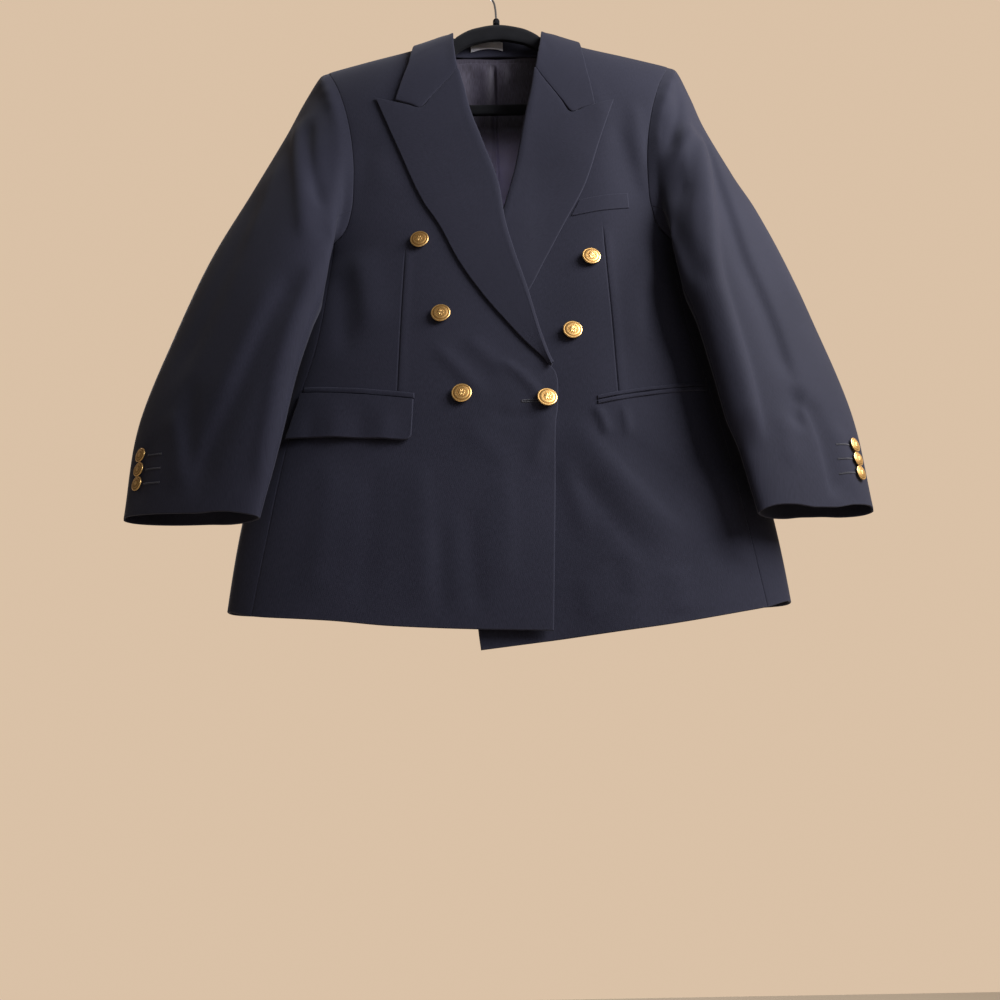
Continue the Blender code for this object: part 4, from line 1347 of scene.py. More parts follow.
@dataclass
class Lapel:
    """A peaked lapel, from its roll to its pressed edge."""

    side: int
    cut: Cut
    swell: tuple[Fold, ...] = ()
    step: float = 0.0030

    @property
    def under(self) -> bool:
        """Whether this lapel is on the front that lies beneath."""
        return self.side > 0

    def grid(self) -> Array:
        """Return the points of the outer face, columns down its length and rows across.

        Returns:
            The points, coordinates in the last axis.
        """
        roll = UNDER_ROLL if self.under else OVER_ROLL
        edge = UNDER_LAPEL if self.under else OVER_LAPEL
        notch = UNDER_NOTCH if self.under else OVER_NOTCH
        t = stations(0.42, self.step) * 0.988
        z = ROLL_TOP + (LAPEL_END - ROLL_TOP) * t
        start = np.stack([roll(z), z], axis=-1)
        top, tip, end = np.array([roll(ROLL_TOP), ROLL_TOP]), edge(0.0), edge(t)
        length = np.linalg.norm(end - start, axis=-1, keepdims=True)
        away = (end - start) / length
        rows, offs = [], []
        begin = (0.30 + 0.70 * ease(t / 0.16))[:, None]
        for out, off in ROLL:
            rows.append(start + away * np.where(out < 0, out * begin, out))
            offs.append(off)
        foot = ease((t - 0.82) / 0.10)[:, None]
        for r, off in LEAF:
            if r < NOTCH_SHARE:
                bent = top + (notch - top) * r / NOTCH_SHARE
            else:
                bent = notch + (tip - notch) * (r - NOTCH_SHARE) / (1 - NOTCH_SHARE)
            kink = bent - (top + (tip - top) * r)
            flat = np.maximum(r, 0.0020 / length + r * 0.8)
            way = start + (end - start) * (r * (1 - foot) + flat * foot)
            rows.append(way + kink * (1 - ease(t / 0.34))[:, None])
            offs.append(off)
        plan = np.stack(rows)
        section = np.concatenate([
            np.linspace(0, 14.2, 24), np.linspace(15.5, 100, 34),
            106 - np.array([5, 3.6, 2.4, 1.5, 0.9, 0.5, 0.2, 0]),
        ])
        plan = through(plan, SECTION_AT, section)
        off = through(np.array(offs), SECTION_AT, section)[:, None]
        x, z = plan[..., 0], plan[..., 1]
        off = off + folded(self.swell, x, z) * ease((section[:, None] - 14) / 20)
        return Body.front(x, z, off, self.under).transpose(1, 0, 2)

    def build(self) -> None:
        """Make the lapel and log its size."""
        word = side_word(self.side)
        sheet = Sheet(
            f"cloth_lapel_{word}", self.grid(), AHEAD,
            (Edge.SEAM, Edge.FREE, Edge.RAW, Edge.FREE),
        )
        sew(sheet, f"lapel_{word}")


COLLAR_FOLD = Path(
    (0.0, 0.0, 0.0120, -0.0950), (0.15, 0.0300, 0.0110, -0.0990), (0.28, 0.0480, 0.0075, -0.1060),
    (0.38, 0.0575, 0.0, -0.1135), (0.46, 0.0570, -0.0110, -0.1225), (0.54, 0.0550, -0.0240, -0.1380),
    (0.64, 0.0537, -0.0400, -0.1570), (0.74, 0.0530, -0.0487, -0.1798),
    (0.84, 0.0512, -0.0535, -0.2020), (0.92, 0.0497, -0.0555, -0.2185), (1.0, 0.0475, -0.0562, -0.2345),
)
COLLAR_BASE = Path(
    (0.0, 0.0, 0.0150, -0.1310), (0.15, 0.0300, 0.0145, -0.1325), (0.28, 0.0550, 0.0100, -0.1365),
    (0.38, 0.0735, 0.0, -0.1405), (0.46, 0.0715, -0.0120, -0.1470), (0.54, 0.0680, -0.0220, -0.1570),
    (0.64, 0.0635, -0.0320, -0.1700), (0.74, 0.0590, -0.0400, -0.1870),
    (0.84, 0.0555, -0.0450, -0.2060), (0.92, 0.0525, -0.0480, -0.2210), (1.0, 0.0500, -0.0490, -0.2345),
)
COLLAR_FRONT = {
    -1: (
        (0.54, 0.1030, -0.1660), (0.64, 0.1045, -0.1900), (0.74, 0.1065, -0.2150),
        (0.87, 0.1140, -0.2500), (1.0, 0.1204, -0.2788),
    ),
    1: (
        (0.54, 0.1000, -0.1680), (0.64, 0.1010, -0.1960), (0.74, 0.1028, -0.2240),
        (0.87, 0.1075, -0.2620), (1.0, 0.1105, -0.2909),
    ),
}
COLLAR_BACK = (
    (0.0, 0.0, -0.1440), (0.15, 0.0330, -0.1465), (0.28, 0.0660, -0.1520), (0.38, 0.0900, -0.1580),
)


def plain_front(x: float, z: float, out: float) -> Array:
    """Return a point off the front before it is folded."""
    base = np.array([x, -Body.depth(np.float64(x), np.float64(z), True), z])
    return base + out * Body.normal(base)


def plain_back(x: float, z: float, out: float) -> Array:
    """Return a point off the back before it is folded."""
    base = np.array([x, Body.depth(np.float64(x), np.float64(z), False), z])
    return base + out * Body.normal(base)


@dataclass
class Collar:
    """The collar: its stand, its fold and its fall round the back of the neck."""

    cut: Cut = Cut(0.44, 0.125, 0.036)

    def rim(self, side: int) -> Path:
        """Return the line of the fall's lower edge on one side.

        Args:
            side: -1 or 1.

        Returns:
            The line.
        """
        rows = [(s, *plain_back(x, z, 0.0046)) for s, x, z in COLLAR_BACK]
        rows.append((0.46, 0.1005, 0.0, float(Body.ridge(0.1005)) + 0.0050))
        rows += [(s, *plain_front(x, z, 0.0046)) for s, x, z in COLLAR_FRONT[side]]
        return Path(*rows)

    def half(self, side: int, s: Array) -> Array:
        """Return one side of the collar.

        Args:
            side: -1 or 1.
            s: shares of the way from the centre back to the gorge.

        Returns:
            Points, rows across the collar first.
        """
        lean = -0.0048 * ease((s - 0.5) / 0.5) if side > 0 else 0 * s
        shift = np.stack([lean, 0 * s, 0 * s], axis=-1)
        low, high, edge = COLLAR_BASE(s) + shift * 0.9, COLLAR_FOLD(s) + shift, self.rim(side)(s)
        rise, drop = unit(high - low), unit(edge - high)
        rows = [low, low + (high - low) * 0.35, low + (high - low) * 0.72]
        rows += [high - rise * 0.0016, high + drop * 0.0018]
        notch = UNDER_NOTCH if side > 0 else OVER_NOTCH * [-1, 1]
        meet = plain_front(notch[0], notch[1], 0.0044)
        ends = ease((s - 0.70) / 0.30)[:, None]
        bend = 0.62
        for r in (0.14, 0.32, 0.5, bend, 0.78, 1.0):
            if r <= bend:
                bent = high + (meet - high) * r / bend
            else:
                bent = meet + (edge - meet) * (r - bend) / (1 - bend)
            point = (high + (edge - high) * r) * (1 - ends) + bent * ends
            free = Body.clear(point, 0.0046)
            rows.append(np.where(((s > 0.30) | (r > 0.5))[:, None], free, point))
        at = (0, 12, 25, 33.4, 36.8, 43, 54, 65, 72, 82, 95)
        places = np.concatenate([
            np.linspace(0, 30, 9), np.linspace(31.5, 40, 12), np.linspace(43, 90, 18),
            95 - np.array([3.6, 2.4, 1.5, 0.9, 0.5, 0.2, 0]),
        ])
        return through(np.stack(rows), at, places) * [side, 1, 1]

    def grid(self) -> Array:
        """Return the points of the outer face, columns from gorge to gorge.

        Returns:
            The points, coordinates in the last axis.
        """
        s = 1 - stations(0.30, 0.0028)
        s = s[s > 0.004]
        right, left = self.half(-1, s), self.half(1, s[::-1])
        middle = self.half(1, np.array([0.0]))
        return np.concatenate([right, middle, left], axis=1).transpose(1, 0, 2)

    def build(self) -> None:
        """Make the collar and log its size."""
        grid = self.grid()
        toward = np.zeros_like(grid)
        toward[:, -12:] = grid[:, -12:] - np.array([0, 0, -0.25])
        sheet = Sheet(
            "cloth_collar", grid, toward, (Edge.SEAM, Edge.SEAM, Edge.RAW, Edge.FREE)
        )
        sew(sheet, "collar")


# Sleeves

RINGS = (
    (0.16, (0.2420, 0.002, -0.2260), (0.2215, -0.012, -0.4900),
     (-0.032, -0.050, -0.010), (-0.014, 0.046, -0.006), (-0.026, -0.016, -0.006)),
    (0.30, (0.2600, 0.002, -0.2800), (0.2080, -0.034, -0.5180),
     (-0.021, -0.044, -0.006), (-0.004, 0.046, 0.0), (-0.021, -0.005, 0.0)),
    (0.46, (0.2930, 0.000, -0.3700), (0.1895, -0.050, -0.5500),
     (-0.014, -0.040, 0.0), (0.0, 0.042, 0.0), (-0.008, 0.0, 0.0)),
    (0.60, (0.3270, -0.002, -0.4640), (0.1930, -0.057, -0.5900),
     (-0.012, -0.036, 0.0), (0.006, 0.038, 0.0), (-0.002, 0.0, 0.0)),
    (0.72, (0.3520, -0.004, -0.5600), (0.2000, -0.061, -0.6430),
     (-0.012, -0.032, 0.0), (0.010, 0.033, 0.0), (0.0, 0.0, 0.0)),
    (0.85, (0.3730, -0.008, -0.6700), (0.2105, -0.064, -0.7120),
     (-0.010, -0.027, 0.0), (0.010, 0.027, 0.0), (0.0, 0.0, 0.0)),
    (1.0, (0.3770, -0.014, -0.7720), (0.2270, -0.062, -0.7890),
     (-0.007, -0.021, 0.0), (0.007, 0.021, 0.0), (0.0, 0.0, 0.0)),
)
# How far each ring's outer end, then its lowest point, moves on each side.
SWING = {
    -1: (0.0065, 0.0050, 0.0040, 0.0060, 0.0070, 0.0080, 0.0010),
    1: (0.0020, -0.0048, -0.0091, -0.0123, -0.0125, -0.0130, -0.0170),
}
FOOT_SWING = {
    -1: (0.0, 0.0, 0.001, 0.003, 0.005, 0.003, 0.0),
    1: (0.0, 0.0, 0.003, 0.006, 0.006, 0.005, 0.0015),
}
DROP = {-1: (0, 0, 0, 0, 0, -0.001, -0.004), 1: (0, 0, 0, 0, 0, -0.003, -0.0075)}
HIND_SEAM = Curve((0.0, -1.05), (0.3, -0.85), (0.65, -0.25), (1.0, 0.16))
FORE_SEAM = Curve((0.0, 2.45), (0.4, 2.75), (1.0, 2.98))

LEFT_SLEEVE_FOLDS = (
    Fold(
        ((0.2286, -0.305), (0.2296, -0.3616), (0.2257, -0.3995), (0.219, -0.4483), (0.213, -0.5066),
         (0.212, -0.5486), (0.2165, -0.5894), (0.2215, -0.6286), (0.226, -0.6715), (0.23, -0.74)),
        0.0085, 0.0165, 0.45, 0.1,
    ),
    Fold(
        ((0.2335, -0.3), (0.2389, -0.3554), (0.2423, -0.3999), (0.2459, -0.4489), (0.251, -0.5075),
         (0.261, -0.5498), (0.2706, -0.5905), (0.2764, -0.6298), (0.2813, -0.6726)),
        -0.005, 0.011, 0.3, 0.12,
    ),
    Fold(
        ((0.1997, -0.235), (0.1826, -0.2876), (0.1744, -0.331), (0.1716, -0.3731)),
        0.0028, 0.012, 0.3, 0.25,
    ),
    Fold(
        ((0.217, -0.235), (0.2154, -0.2503), (0.2085, -0.2984), (0.1992, -0.3316), (0.1877, -0.3735)),
        -0.0022, 0.0075, 0, 0.2,
    ),
    Fold(
        ((0.225, -0.29), (0.2165, -0.3286), (0.2019, -0.3609), (0.1849, -0.3954)),
        0.0017, 0.0075, 0.2, 0.3,
    ),
    Fold(
        ((0.2237, -0.3288), (0.2127, -0.374), (0.2045, -0.4177), (0.1975, -0.4628)),
        -0.0024, 0.0085, 0, 0.3,
    ),
    Fold(((0.27, -0.36), (0.29, -0.4347), (0.306, -0.5068), (0.319, -0.58)), 0.0024, 0.016, 0, 0.25),
    Fold(((0.2902, -0.66), (0.2826, -0.6873), (0.28, -0.7171)), -0.0053, 0.009, 0.2, 0.35),
    Fold(
        ((0.285, -0.6704), (0.2985, -0.6897), (0.3052, -0.7156), (0.3071, -0.7324), (0.3091, -0.7553),
         (0.3061, -0.7816)),
        -0.0039, 0.009, -0.2, 0.2,
    ),
    Fold(((0.256, -0.69), (0.264, -0.715), (0.264, -0.76)), 0.0015, 0.01, 0, 0.3),
    Fold(((0.323, -0.69), (0.33, -0.73), (0.333, -0.778)), 0.0015, 0.011, 0, 0.25),
    Fold(((0.174, -0.435), (0.18, -0.4712), (0.19, -0.5147), (0.203, -0.57)), -0.0027, 0.01, 0, 0.25),
)
RIGHT_SLEEVE_FOLDS = (
    Fold(
        ((-0.238, -0.27), (-0.234, -0.3148), (-0.227, -0.36), (-0.219, -0.405), (-0.21, -0.455),
         (-0.202, -0.5)),
        0.0035, 0.012, -0.2, 0.2,
    ),
    Fold(
        ((-0.2243, -0.285), (-0.2212, -0.3221), (-0.2152, -0.3617), (-0.2046, -0.4063),
         (-0.1919, -0.4495)),
        -0.0039, 0.0085, 0, 0.22,
    ),
    Fold(
        ((-0.2048, -0.2334), (-0.188, -0.286), (-0.179, -0.3396), (-0.179, -0.3907),
         (-0.184, -0.4397)),
        0.002, 0.01, 0, 0.2,
    ),
    Fold(
        ((-0.192, -0.505), (-0.199, -0.55), (-0.2097, -0.594), (-0.2191, -0.6479), (-0.223, -0.6934),
         (-0.23, -0.7713)),
        0.0022, 0.009, 0, 0.12,
    ),
    Fold(
        ((-0.212, -0.52), (-0.2197, -0.5536), (-0.2349, -0.5935), (-0.2473, -0.6322),
         (-0.2629, -0.6799), (-0.2819, -0.7302), (-0.2901, -0.7782)),
        -0.0028, 0.0125, -0.2, 0.15,
    ),
    Fold(
        ((-0.2321, -0.5139), (-0.2562, -0.5988), (-0.2739, -0.6518), (-0.293, -0.7033)),
        0.0018, 0.013, 0.2, 0.3,
    ),
    Fold(((-0.3363, -0.6655), (-0.3165, -0.7096), (-0.3059, -0.7657)), 0.0017, 0.01, 0.2, 0.25),
    Fold(((-0.314, -0.63), (-0.308, -0.69), (-0.3, -0.75)), -0.0015, 0.01, 0, 0.3),
    Fold(
        ((-0.27, -0.37), (-0.2835, -0.456), (-0.301, -0.527), (-0.3177, -0.5851), (-0.3419, -0.651)),
        -0.0019, 0.014, 0, 0.2,
    ),
    Fold(((-0.25, -0.33), (-0.264, -0.42), (-0.28, -0.5)), 0.0014, 0.012, 0, 0.3),
    Fold(((-0.35, -0.69), (-0.356, -0.73), (-0.358, -0.775)), -0.0011, 0.01, 0, 0.25),
)
# Behind, each sleeve has its own folds from the head, the elbow and the cuff.
LEFT_SLEEVE_BACK = (
    Fold(((0.23, -0.27), (0.242, -0.35), (0.256, -0.43), (0.27, -0.51)), 0.0048, 0.016, 0.2, 0.2),
    Fold(((0.215, -0.29), (0.218, -0.37), (0.223, -0.45)), -0.0034, 0.012, 0, 0.25),
    Fold(((0.29, -0.53), (0.262, -0.56), (0.23, -0.575)), -0.0036, 0.011, 0, 0.3),
    Fold(((0.3, -0.58), (0.27, -0.615), (0.24, -0.63)), 0.0034, 0.012, 0, 0.3),
    Fold(((0.27, -0.65), (0.278, -0.71), (0.282, -0.782)), -0.0032, 0.013, 0, 0.2),
    Fold(((0.315, -0.65), (0.325, -0.71), (0.33, -0.778)), 0.0026, 0.012, 0, 0.2),
)
RIGHT_SLEEVE_BACK = (
    Fold(((-0.232, -0.28), (-0.245, -0.37), (-0.262, -0.45), (-0.28, -0.53)), 0.0044, 0.016, 0.2, 0.2),
    Fold(((-0.214, -0.28), (-0.22, -0.36), (-0.226, -0.44)), -0.003, 0.012, 0, 0.25),
    Fold(((-0.3, -0.55), (-0.27, -0.575), (-0.235, -0.585)), -0.0034, 0.011, 0, 0.3),
    Fold(((-0.31, -0.6), (-0.282, -0.63), (-0.25, -0.642)), 0.0032, 0.012, 0, 0.3),
    Fold(((-0.28, -0.67), (-0.29, -0.72), (-0.294, -0.784)), -0.003, 0.013, 0, 0.2),
    Fold(((-0.335, -0.67), (-0.343, -0.72), (-0.347, -0.778)), 0.0024, 0.011, 0, 0.2),
)
# How far the cuff's front edge rises or falls along x.
CUFF_WAVE = {
    -1: Curve((0.23, 0.0), (0.26, 0.0012), (0.29, -0.0012), (0.33, -0.0004), (0.37, 0.0010)),
    1: Curve(
        (0.225, -0.0006), (0.245, 0.0028), (0.262, 0.0018), (0.285, -0.0022), (0.305, -0.0024),
        (0.330, 0.0012), (0.352, 0.0026), (0.372, -0.0004),
    ),
}


@dataclass
class Sleeve:
    """A two-piece sleeve set into its armhole and hanging forward over the side."""

    side: int
    front_folds: tuple[Fold, ...]
    back_folds: tuple[Fold, ...]
    top_cut: Cut
    under_cut: Cut
    step: float = 0.0034

    def __post_init__(self) -> None:
        """Work out the armhole's line."""
        self.armholes = {}
        for front, edge in ((True, Body.arm_front), (False, Body.arm_back)):
            z = np.linspace(Body.top_z, Body.arm_low, 40)
            first = np.stack([edge(z), z], axis=-1)
            x = np.linspace(first[-1, 0], Body.arm_tip, 12)[1:]
            line = np.concatenate([first, np.stack([x, Body.arm_floor(x)], axis=-1)])
            run = np.concatenate([[0], np.cumsum(np.linalg.norm(np.diff(line, axis=0), axis=1))])
            self.armholes[front] = (run, line)

    def armhole(self, turn: Array) -> Array:
        """Return points of the armhole: turn 0 at the shoulder, pi under the arm.

        Args:
            turn: angles.

        Returns:
            The points in the mirrored right-hand frame.
        """
        turn = turn % math.tau
        found = []
        for front, place in ((True, Body.front), (False, Body.back)):
            run, line = self.armholes[front]
            share = turn / math.pi if front else 2 - turn / math.pi
            at = np.clip(share, 0, 1) * run[-1]
            x, z = np.interp(at, run, line[:, 0]), np.interp(at, run, line[:, 1])
            found.append(place(self.side * x, z) * [self.side, 1, 1])
        return np.where((turn <= math.pi)[..., None], *found)

    def rows(self, turn: Array) -> tuple[Array, Array]:
        """Return the rings of the sleeve at each turn and their shares of the way down.

        Args:
            turn: angles.

        Returns:
            The rings in the first axis, and one share for each.
        """
        c, s = np.cos(turn)[..., None], np.sin(turn)[..., None]
        up, low = np.maximum(c, 0), np.maximum(-c, 0)
        # The sleeve starts a little inside the body's edge, so that no light comes through.
        start = self.armhole(turn) - 0.0006 * np.concatenate([1 - low**2, 0 * c, low**2], axis=-1)
        lead = up * np.array([1.0, 0, -0.80]) + low * low * np.array([0.75, -0.18, -0.60])
        sway = np.concatenate([0.85 * np.abs(s), -0.35 * s * np.abs(s), -0.25 * np.abs(s)], axis=-1)
        lead = unit(lead + sway)
        found, at = [start, start + 0.0135 * lead], [0.0, 0.05]
        ahead_share = (s + np.sqrt(s * s + 0.03)) / 2
        behind_share = (-s + np.sqrt(s * s + 0.03)) / 2
        near = np.exp(-(((turn % math.tau) - 2.50) / 0.42) ** 2)[..., None]
        for k, (down, top, foot, ahead, behind, corner) in enumerate(RINGS):
            top = np.array(top) + [SWING[self.side][k], 0, DROP[self.side][k]]
            foot = np.array(foot) + [FOOT_SWING[self.side][k], 0, DROP[self.side][k]]
            point = (top + foot) / 2 + (top - foot) / 2 * c + near * np.array(corner)
            found.append(point + np.array(ahead) * ahead_share + np.array(behind) * behind_share)
            at.append(down)
        return np.stack(found), np.array(at)

    def at(self, down: Array, turn: Array) -> Array:
        """Return points of the sleeve's outer face in the mirrored right-hand frame.

        Args:
            down: shares of the way down.
            turn: angles.

        Returns:
            The points, coordinates in the last axis.
        """
        down, turn = np.broadcast_arrays(np.asarray(down, float), np.asarray(turn, float))
        rows, places = self.rows(turn)
        k = np.clip(np.searchsorted(places, down, side="right") - 1, 0, len(places) - 2)
        before, after = np.maximum(k - 1, 0), np.minimum(k + 2, len(places) - 1)

        def pick(index: Array) -> Array:
            """Return each point's own ring."""
            return np.take_along_axis(rows, index[None, ..., None], axis=0)[0]

        span = places[k + 1] - places[k]
        t = ((down - places[k]) / span)[..., None]
        first = (pick(k + 1) - pick(before)) * (span / (places[k + 1] - places[before]))[..., None]
        last = (pick(after) - pick(k)) * (span / (places[after] - places[k]))[..., None]
        return (
            pick(k) * (1 + 2 * t) * (1 - t) ** 2 + first * t * (1 - t) ** 2
            + pick(k + 1) * t * t * (3 - 2 * t) + last * t * t * (t - 1)
        )

    def folded_at(self, down: Array, turn: Array) -> tuple[Array, Array]:
        """Return folded points in the real frame, and their outward normals.

        Args:
            down: shares of the way down.
            turn: angles.

        Returns:
            The points and the normals.
        """
        step = 0.004
        base = self.at(down, turn)
        along = self.at(np.minimum(down + step, 1), turn) - self.at(np.maximum(down - step, 0), turn)
        across = self.at(down, turn + 0.02) - self.at(down, turn - 0.02)
        normal = unit(np.cross(across, along)) * [self.side, 1, 1]
        sign = np.where(np.sum(normal * self.outward(turn), axis=-1) < 0, -1.0, 1.0)
        normal = normal * sign[..., None]
        point = base * [self.side, 1, 1]
        s = np.sin(turn)
        ahead, behind = ease(0.5 + 1.6 * s), ease(0.5 - 1.6 * s)
        lift = ahead * folded(self.front_folds, point[..., 0], point[..., 2])
        lift = lift + behind * folded(self.back_folds, point[..., 0], point[..., 2])
        lift = lift * ease(down / 0.10)
        aside = np.abs((turn + math.pi) % math.tau - math.pi)
        full = 0.0012 * hump(down - 0.055, 0.030) * ease(1.6 - aside) * ease(aside / 0.5)
        lift = lift + full * (1 + 0.25 * np.sin(turn * 23))
        point = point + normal * lift[..., None]
        wave = CUFF_WAVE[self.side](base[..., 0]) * np.where(s > 0, 1.0, -0.5)
        point[..., 2] += wave * ease((down - 0.90) / 0.10)
        return point, normal

    def outward(self, turn: Array) -> Array:
        """Return roughly which way the sleeve faces at each turn."""
        c, s = np.cos(turn), np.sin(turn)
        return np.stack([self.side * 0.75 * c, -s, 0.45 * c], axis=-1)

    def piece(self, under: bool) -> Sheet:
        """Return the top or under piece of the sleeve.

        Args:
            under: whether it is the under piece.

        Returns:
            The sheet.
        """
        columns = stations(0.17 if under else 0.24, self.step)
        s, down = np.meshgrid(columns, stations(0.60, self.step), indexing="ij")
        lap = 0.0035
        first, last = HIND_SEAM(down) - lap, FORE_SEAM(down) + lap
        if under:
            first, last = last - 2 * lap, first + 2 * lap + math.tau
        turn = first + (last - first) * s
        grid, normals = self.folded_at(down, turn)
        word, kind = side_word(self.side), "under" if under else "top"
        return Sheet(
            f"cloth_sleeve_{kind}_{word}", grid, normals, SEWN_PANEL, lined=True, facing=CUFF_FACING,
            allowance=ARM_ALLOWANCE,
        )

    def build(self) -> None:
        """Make both pieces and log their sizes."""
        word = side_word(self.side)
        for under, cut in ((False, self.top_cut), (True, self.under_cut)):
            kind = "under" if under else "top"
            sew(self.piece(under), f"sleeve_{kind}_{word}")


# Pockets, lining and label


@dataclass
class Pockets:
    """The pocket pieces that lie on the fronts."""

    flap_cut: Cut = Cut(0.135, 0.055, 0.0062, "laid")

    def strip(
        self, name: str, start: tuple[float, float], end: tuple[float, float], height: float,
        under: bool,
    ) -> None:
        """Make a narrow jetting beside a pocket's mouth.

        Args:
            name: the solid's name.
            start: its inner upper corner in (x, z).
            end: its outer upper corner.
            height: its width down the front.
            under: whether it is on the front that lies beneath.
        """
        s, t = np.meshgrid(stations(0.118, 0.003), stations(height, 0.0009), indexing="ij")
        x = start[0] + (end[0] - start[0]) * s
        z = start[1] + (end[1] - start[1]) * s - height * t
        crown = 0.0010 + 0.0004 * np.sin(math.pi * t) + 0.0002 * np.sin(s * 17)
        sheet = Sheet(
            f"cloth_{name}", Body.front(x, z, crown, under), AHEAD, ALL_FREE, thick=0.0018
        )
        sew(sheet, name)

    def flap(self) -> None:
        """Make the flap with its rounded front corner and soft waves."""
        top_in, top_out = np.array([-0.0905, -0.6675]), np.array([-0.2085, -0.6475])
        low_in, low_out = np.array([-0.0920, -0.7130]), np.array([-0.2190, -0.6990])
        s, t = np.meshgrid(stations(0.12, 0.0022), stations(0.047, 0.0018), indexing="ij")
        above = top_in + (top_out - top_in) * s[..., None]
        below = low_in + (low_out - low_in) * s[..., None]
        u = np.clip(1 - s * 0.126 / 0.0065, 0, 1)
        below = below + np.stack([0 * u, 0.0065 * (1 - np.sqrt(1 - u * u))], axis=-1)
        plan = above + (below - above) * t[..., None]
        x, z = plan[..., 0], plan[..., 1]
        wave = 0.0011 * hump(x + 0.118, 0.010) - 0.0009 * hump(x + 0.142, 0.009)
        wave = wave + 0.0012 * hump(x + 0.168, 0.011) - 0.0007 * hump(x + 0.193, 0.008)
        out = 0.0026 + 0.0022 * t + wave * ease(t * 1.3)
        sheet = Sheet(
            "cloth_pocket_flap", Body.front(x, z, out), AHEAD,
            (Edge.FREE, Edge.FREE, Edge.RAW, Edge.FREE), thick=0.0022,
        )
        sew(sheet, "pocket_flap_right")

    def welt(self) -> None:
        """Make the chest pocket's welt."""
        a, b, c, d = (
            np.array(p) for p in
            ((0.0868, -0.4225), (0.1410, -0.4125), (0.1410, -0.4330), (0.0762, -0.4442))
        )
        s, t = np.meshgrid(stations(0.058, 0.002), stations(0.021, 0.0015), indexing="ij")
        s, t = s[..., None], t[..., None]
        plan = (a + (b - a) * s) * (1 - t) + (d + (c - d) * s) * t
        sheet = Sheet(
            "cloth_chest_welt", Body.front(plan[..., 0], plan[..., 1], 0.0010, True), AHEAD,
            ALL_FREE, thick=0.0019,
        )
        sew(sheet, "chest_welt")

    def build(self) -> None:
        """Make every pocket piece."""
        self.strip(
            "jetting_right", (-0.0900, -0.6600), (-0.2060, -0.6404), 0.0065, False,
        )
        self.flap()
        self.strip("jetting_left_upper", (0.0914, -0.6650), (0.2060, -0.6424), 0.0045, True)
        self.strip("jetting_left_lower", (0.0914, -0.6703), (0.2060, -0.6477), 0.0045, True)
        self.welt()


LINING_FOLDS = (
    Fold(
        ((-0.017, -0.115), (-0.0165, -0.1491), (-0.015, -0.1886), (-0.016, -0.24)),
        0.0016, 0.0085, -0.2, 0.15,
    ),
    Fold(
        ((-0.0062, -0.104), (-0.005, -0.126), (-0.0044, -0.156), (-0.0042, -0.1903), (-0.004, -0.24),
         (-0.002, -0.33)),
        -0.004, 0.0026, 0.5, 0.12,
    ),
    Fold(
        ((0.0075, -0.118), (0.0076, -0.1563), (0.0083, -0.189), (0.01, -0.25)),
        0.0014, 0.0075, 0.2, 0.2,
    ),
    Fold(((0.019, -0.1129), (0.018, -0.1332), (0.016, -0.16)), -0.0014, 0.005, 0, 0.3),
    Fold(((0.0265, -0.125), (0.025, -0.16), (0.024, -0.19)), 0.0012, 0.0065, 0.3, 0.25),
    Fold(((-0.038, -0.13), (-0.034, -0.2), (-0.036, -0.3)), -0.0016, 0.009, 0, 0.2),
    Fold(((0.04, -0.135), (0.038, -0.21), (0.042, -0.31)), 0.0018, 0.008, 0, 0.2),
    Fold(((-0.018, -0.26), (-0.012, -0.3), (-0.008, -0.36)), 0.0024, 0.0075, 0, 0.25),
    Fold(((0.008, -0.255), (0.009, -0.3), (0.006, -0.37)), 0.003, 0.0085, 0, 0.25),
    Fold(((-0.005, -0.36), (0.0000, -0.48), (0.002, -0.78)), 0.0022, 0.007, 0.3, 0.1),
    Fold(((0.07, -0.3), (0.078, -0.5), (0.072, -0.76)), -0.0022, 0.014, 0, 0.2),
    Fold(((-0.08, -0.28), (-0.074, -0.49), (-0.08, -0.77)), 0.0024, 0.014, 0, 0.2),
)


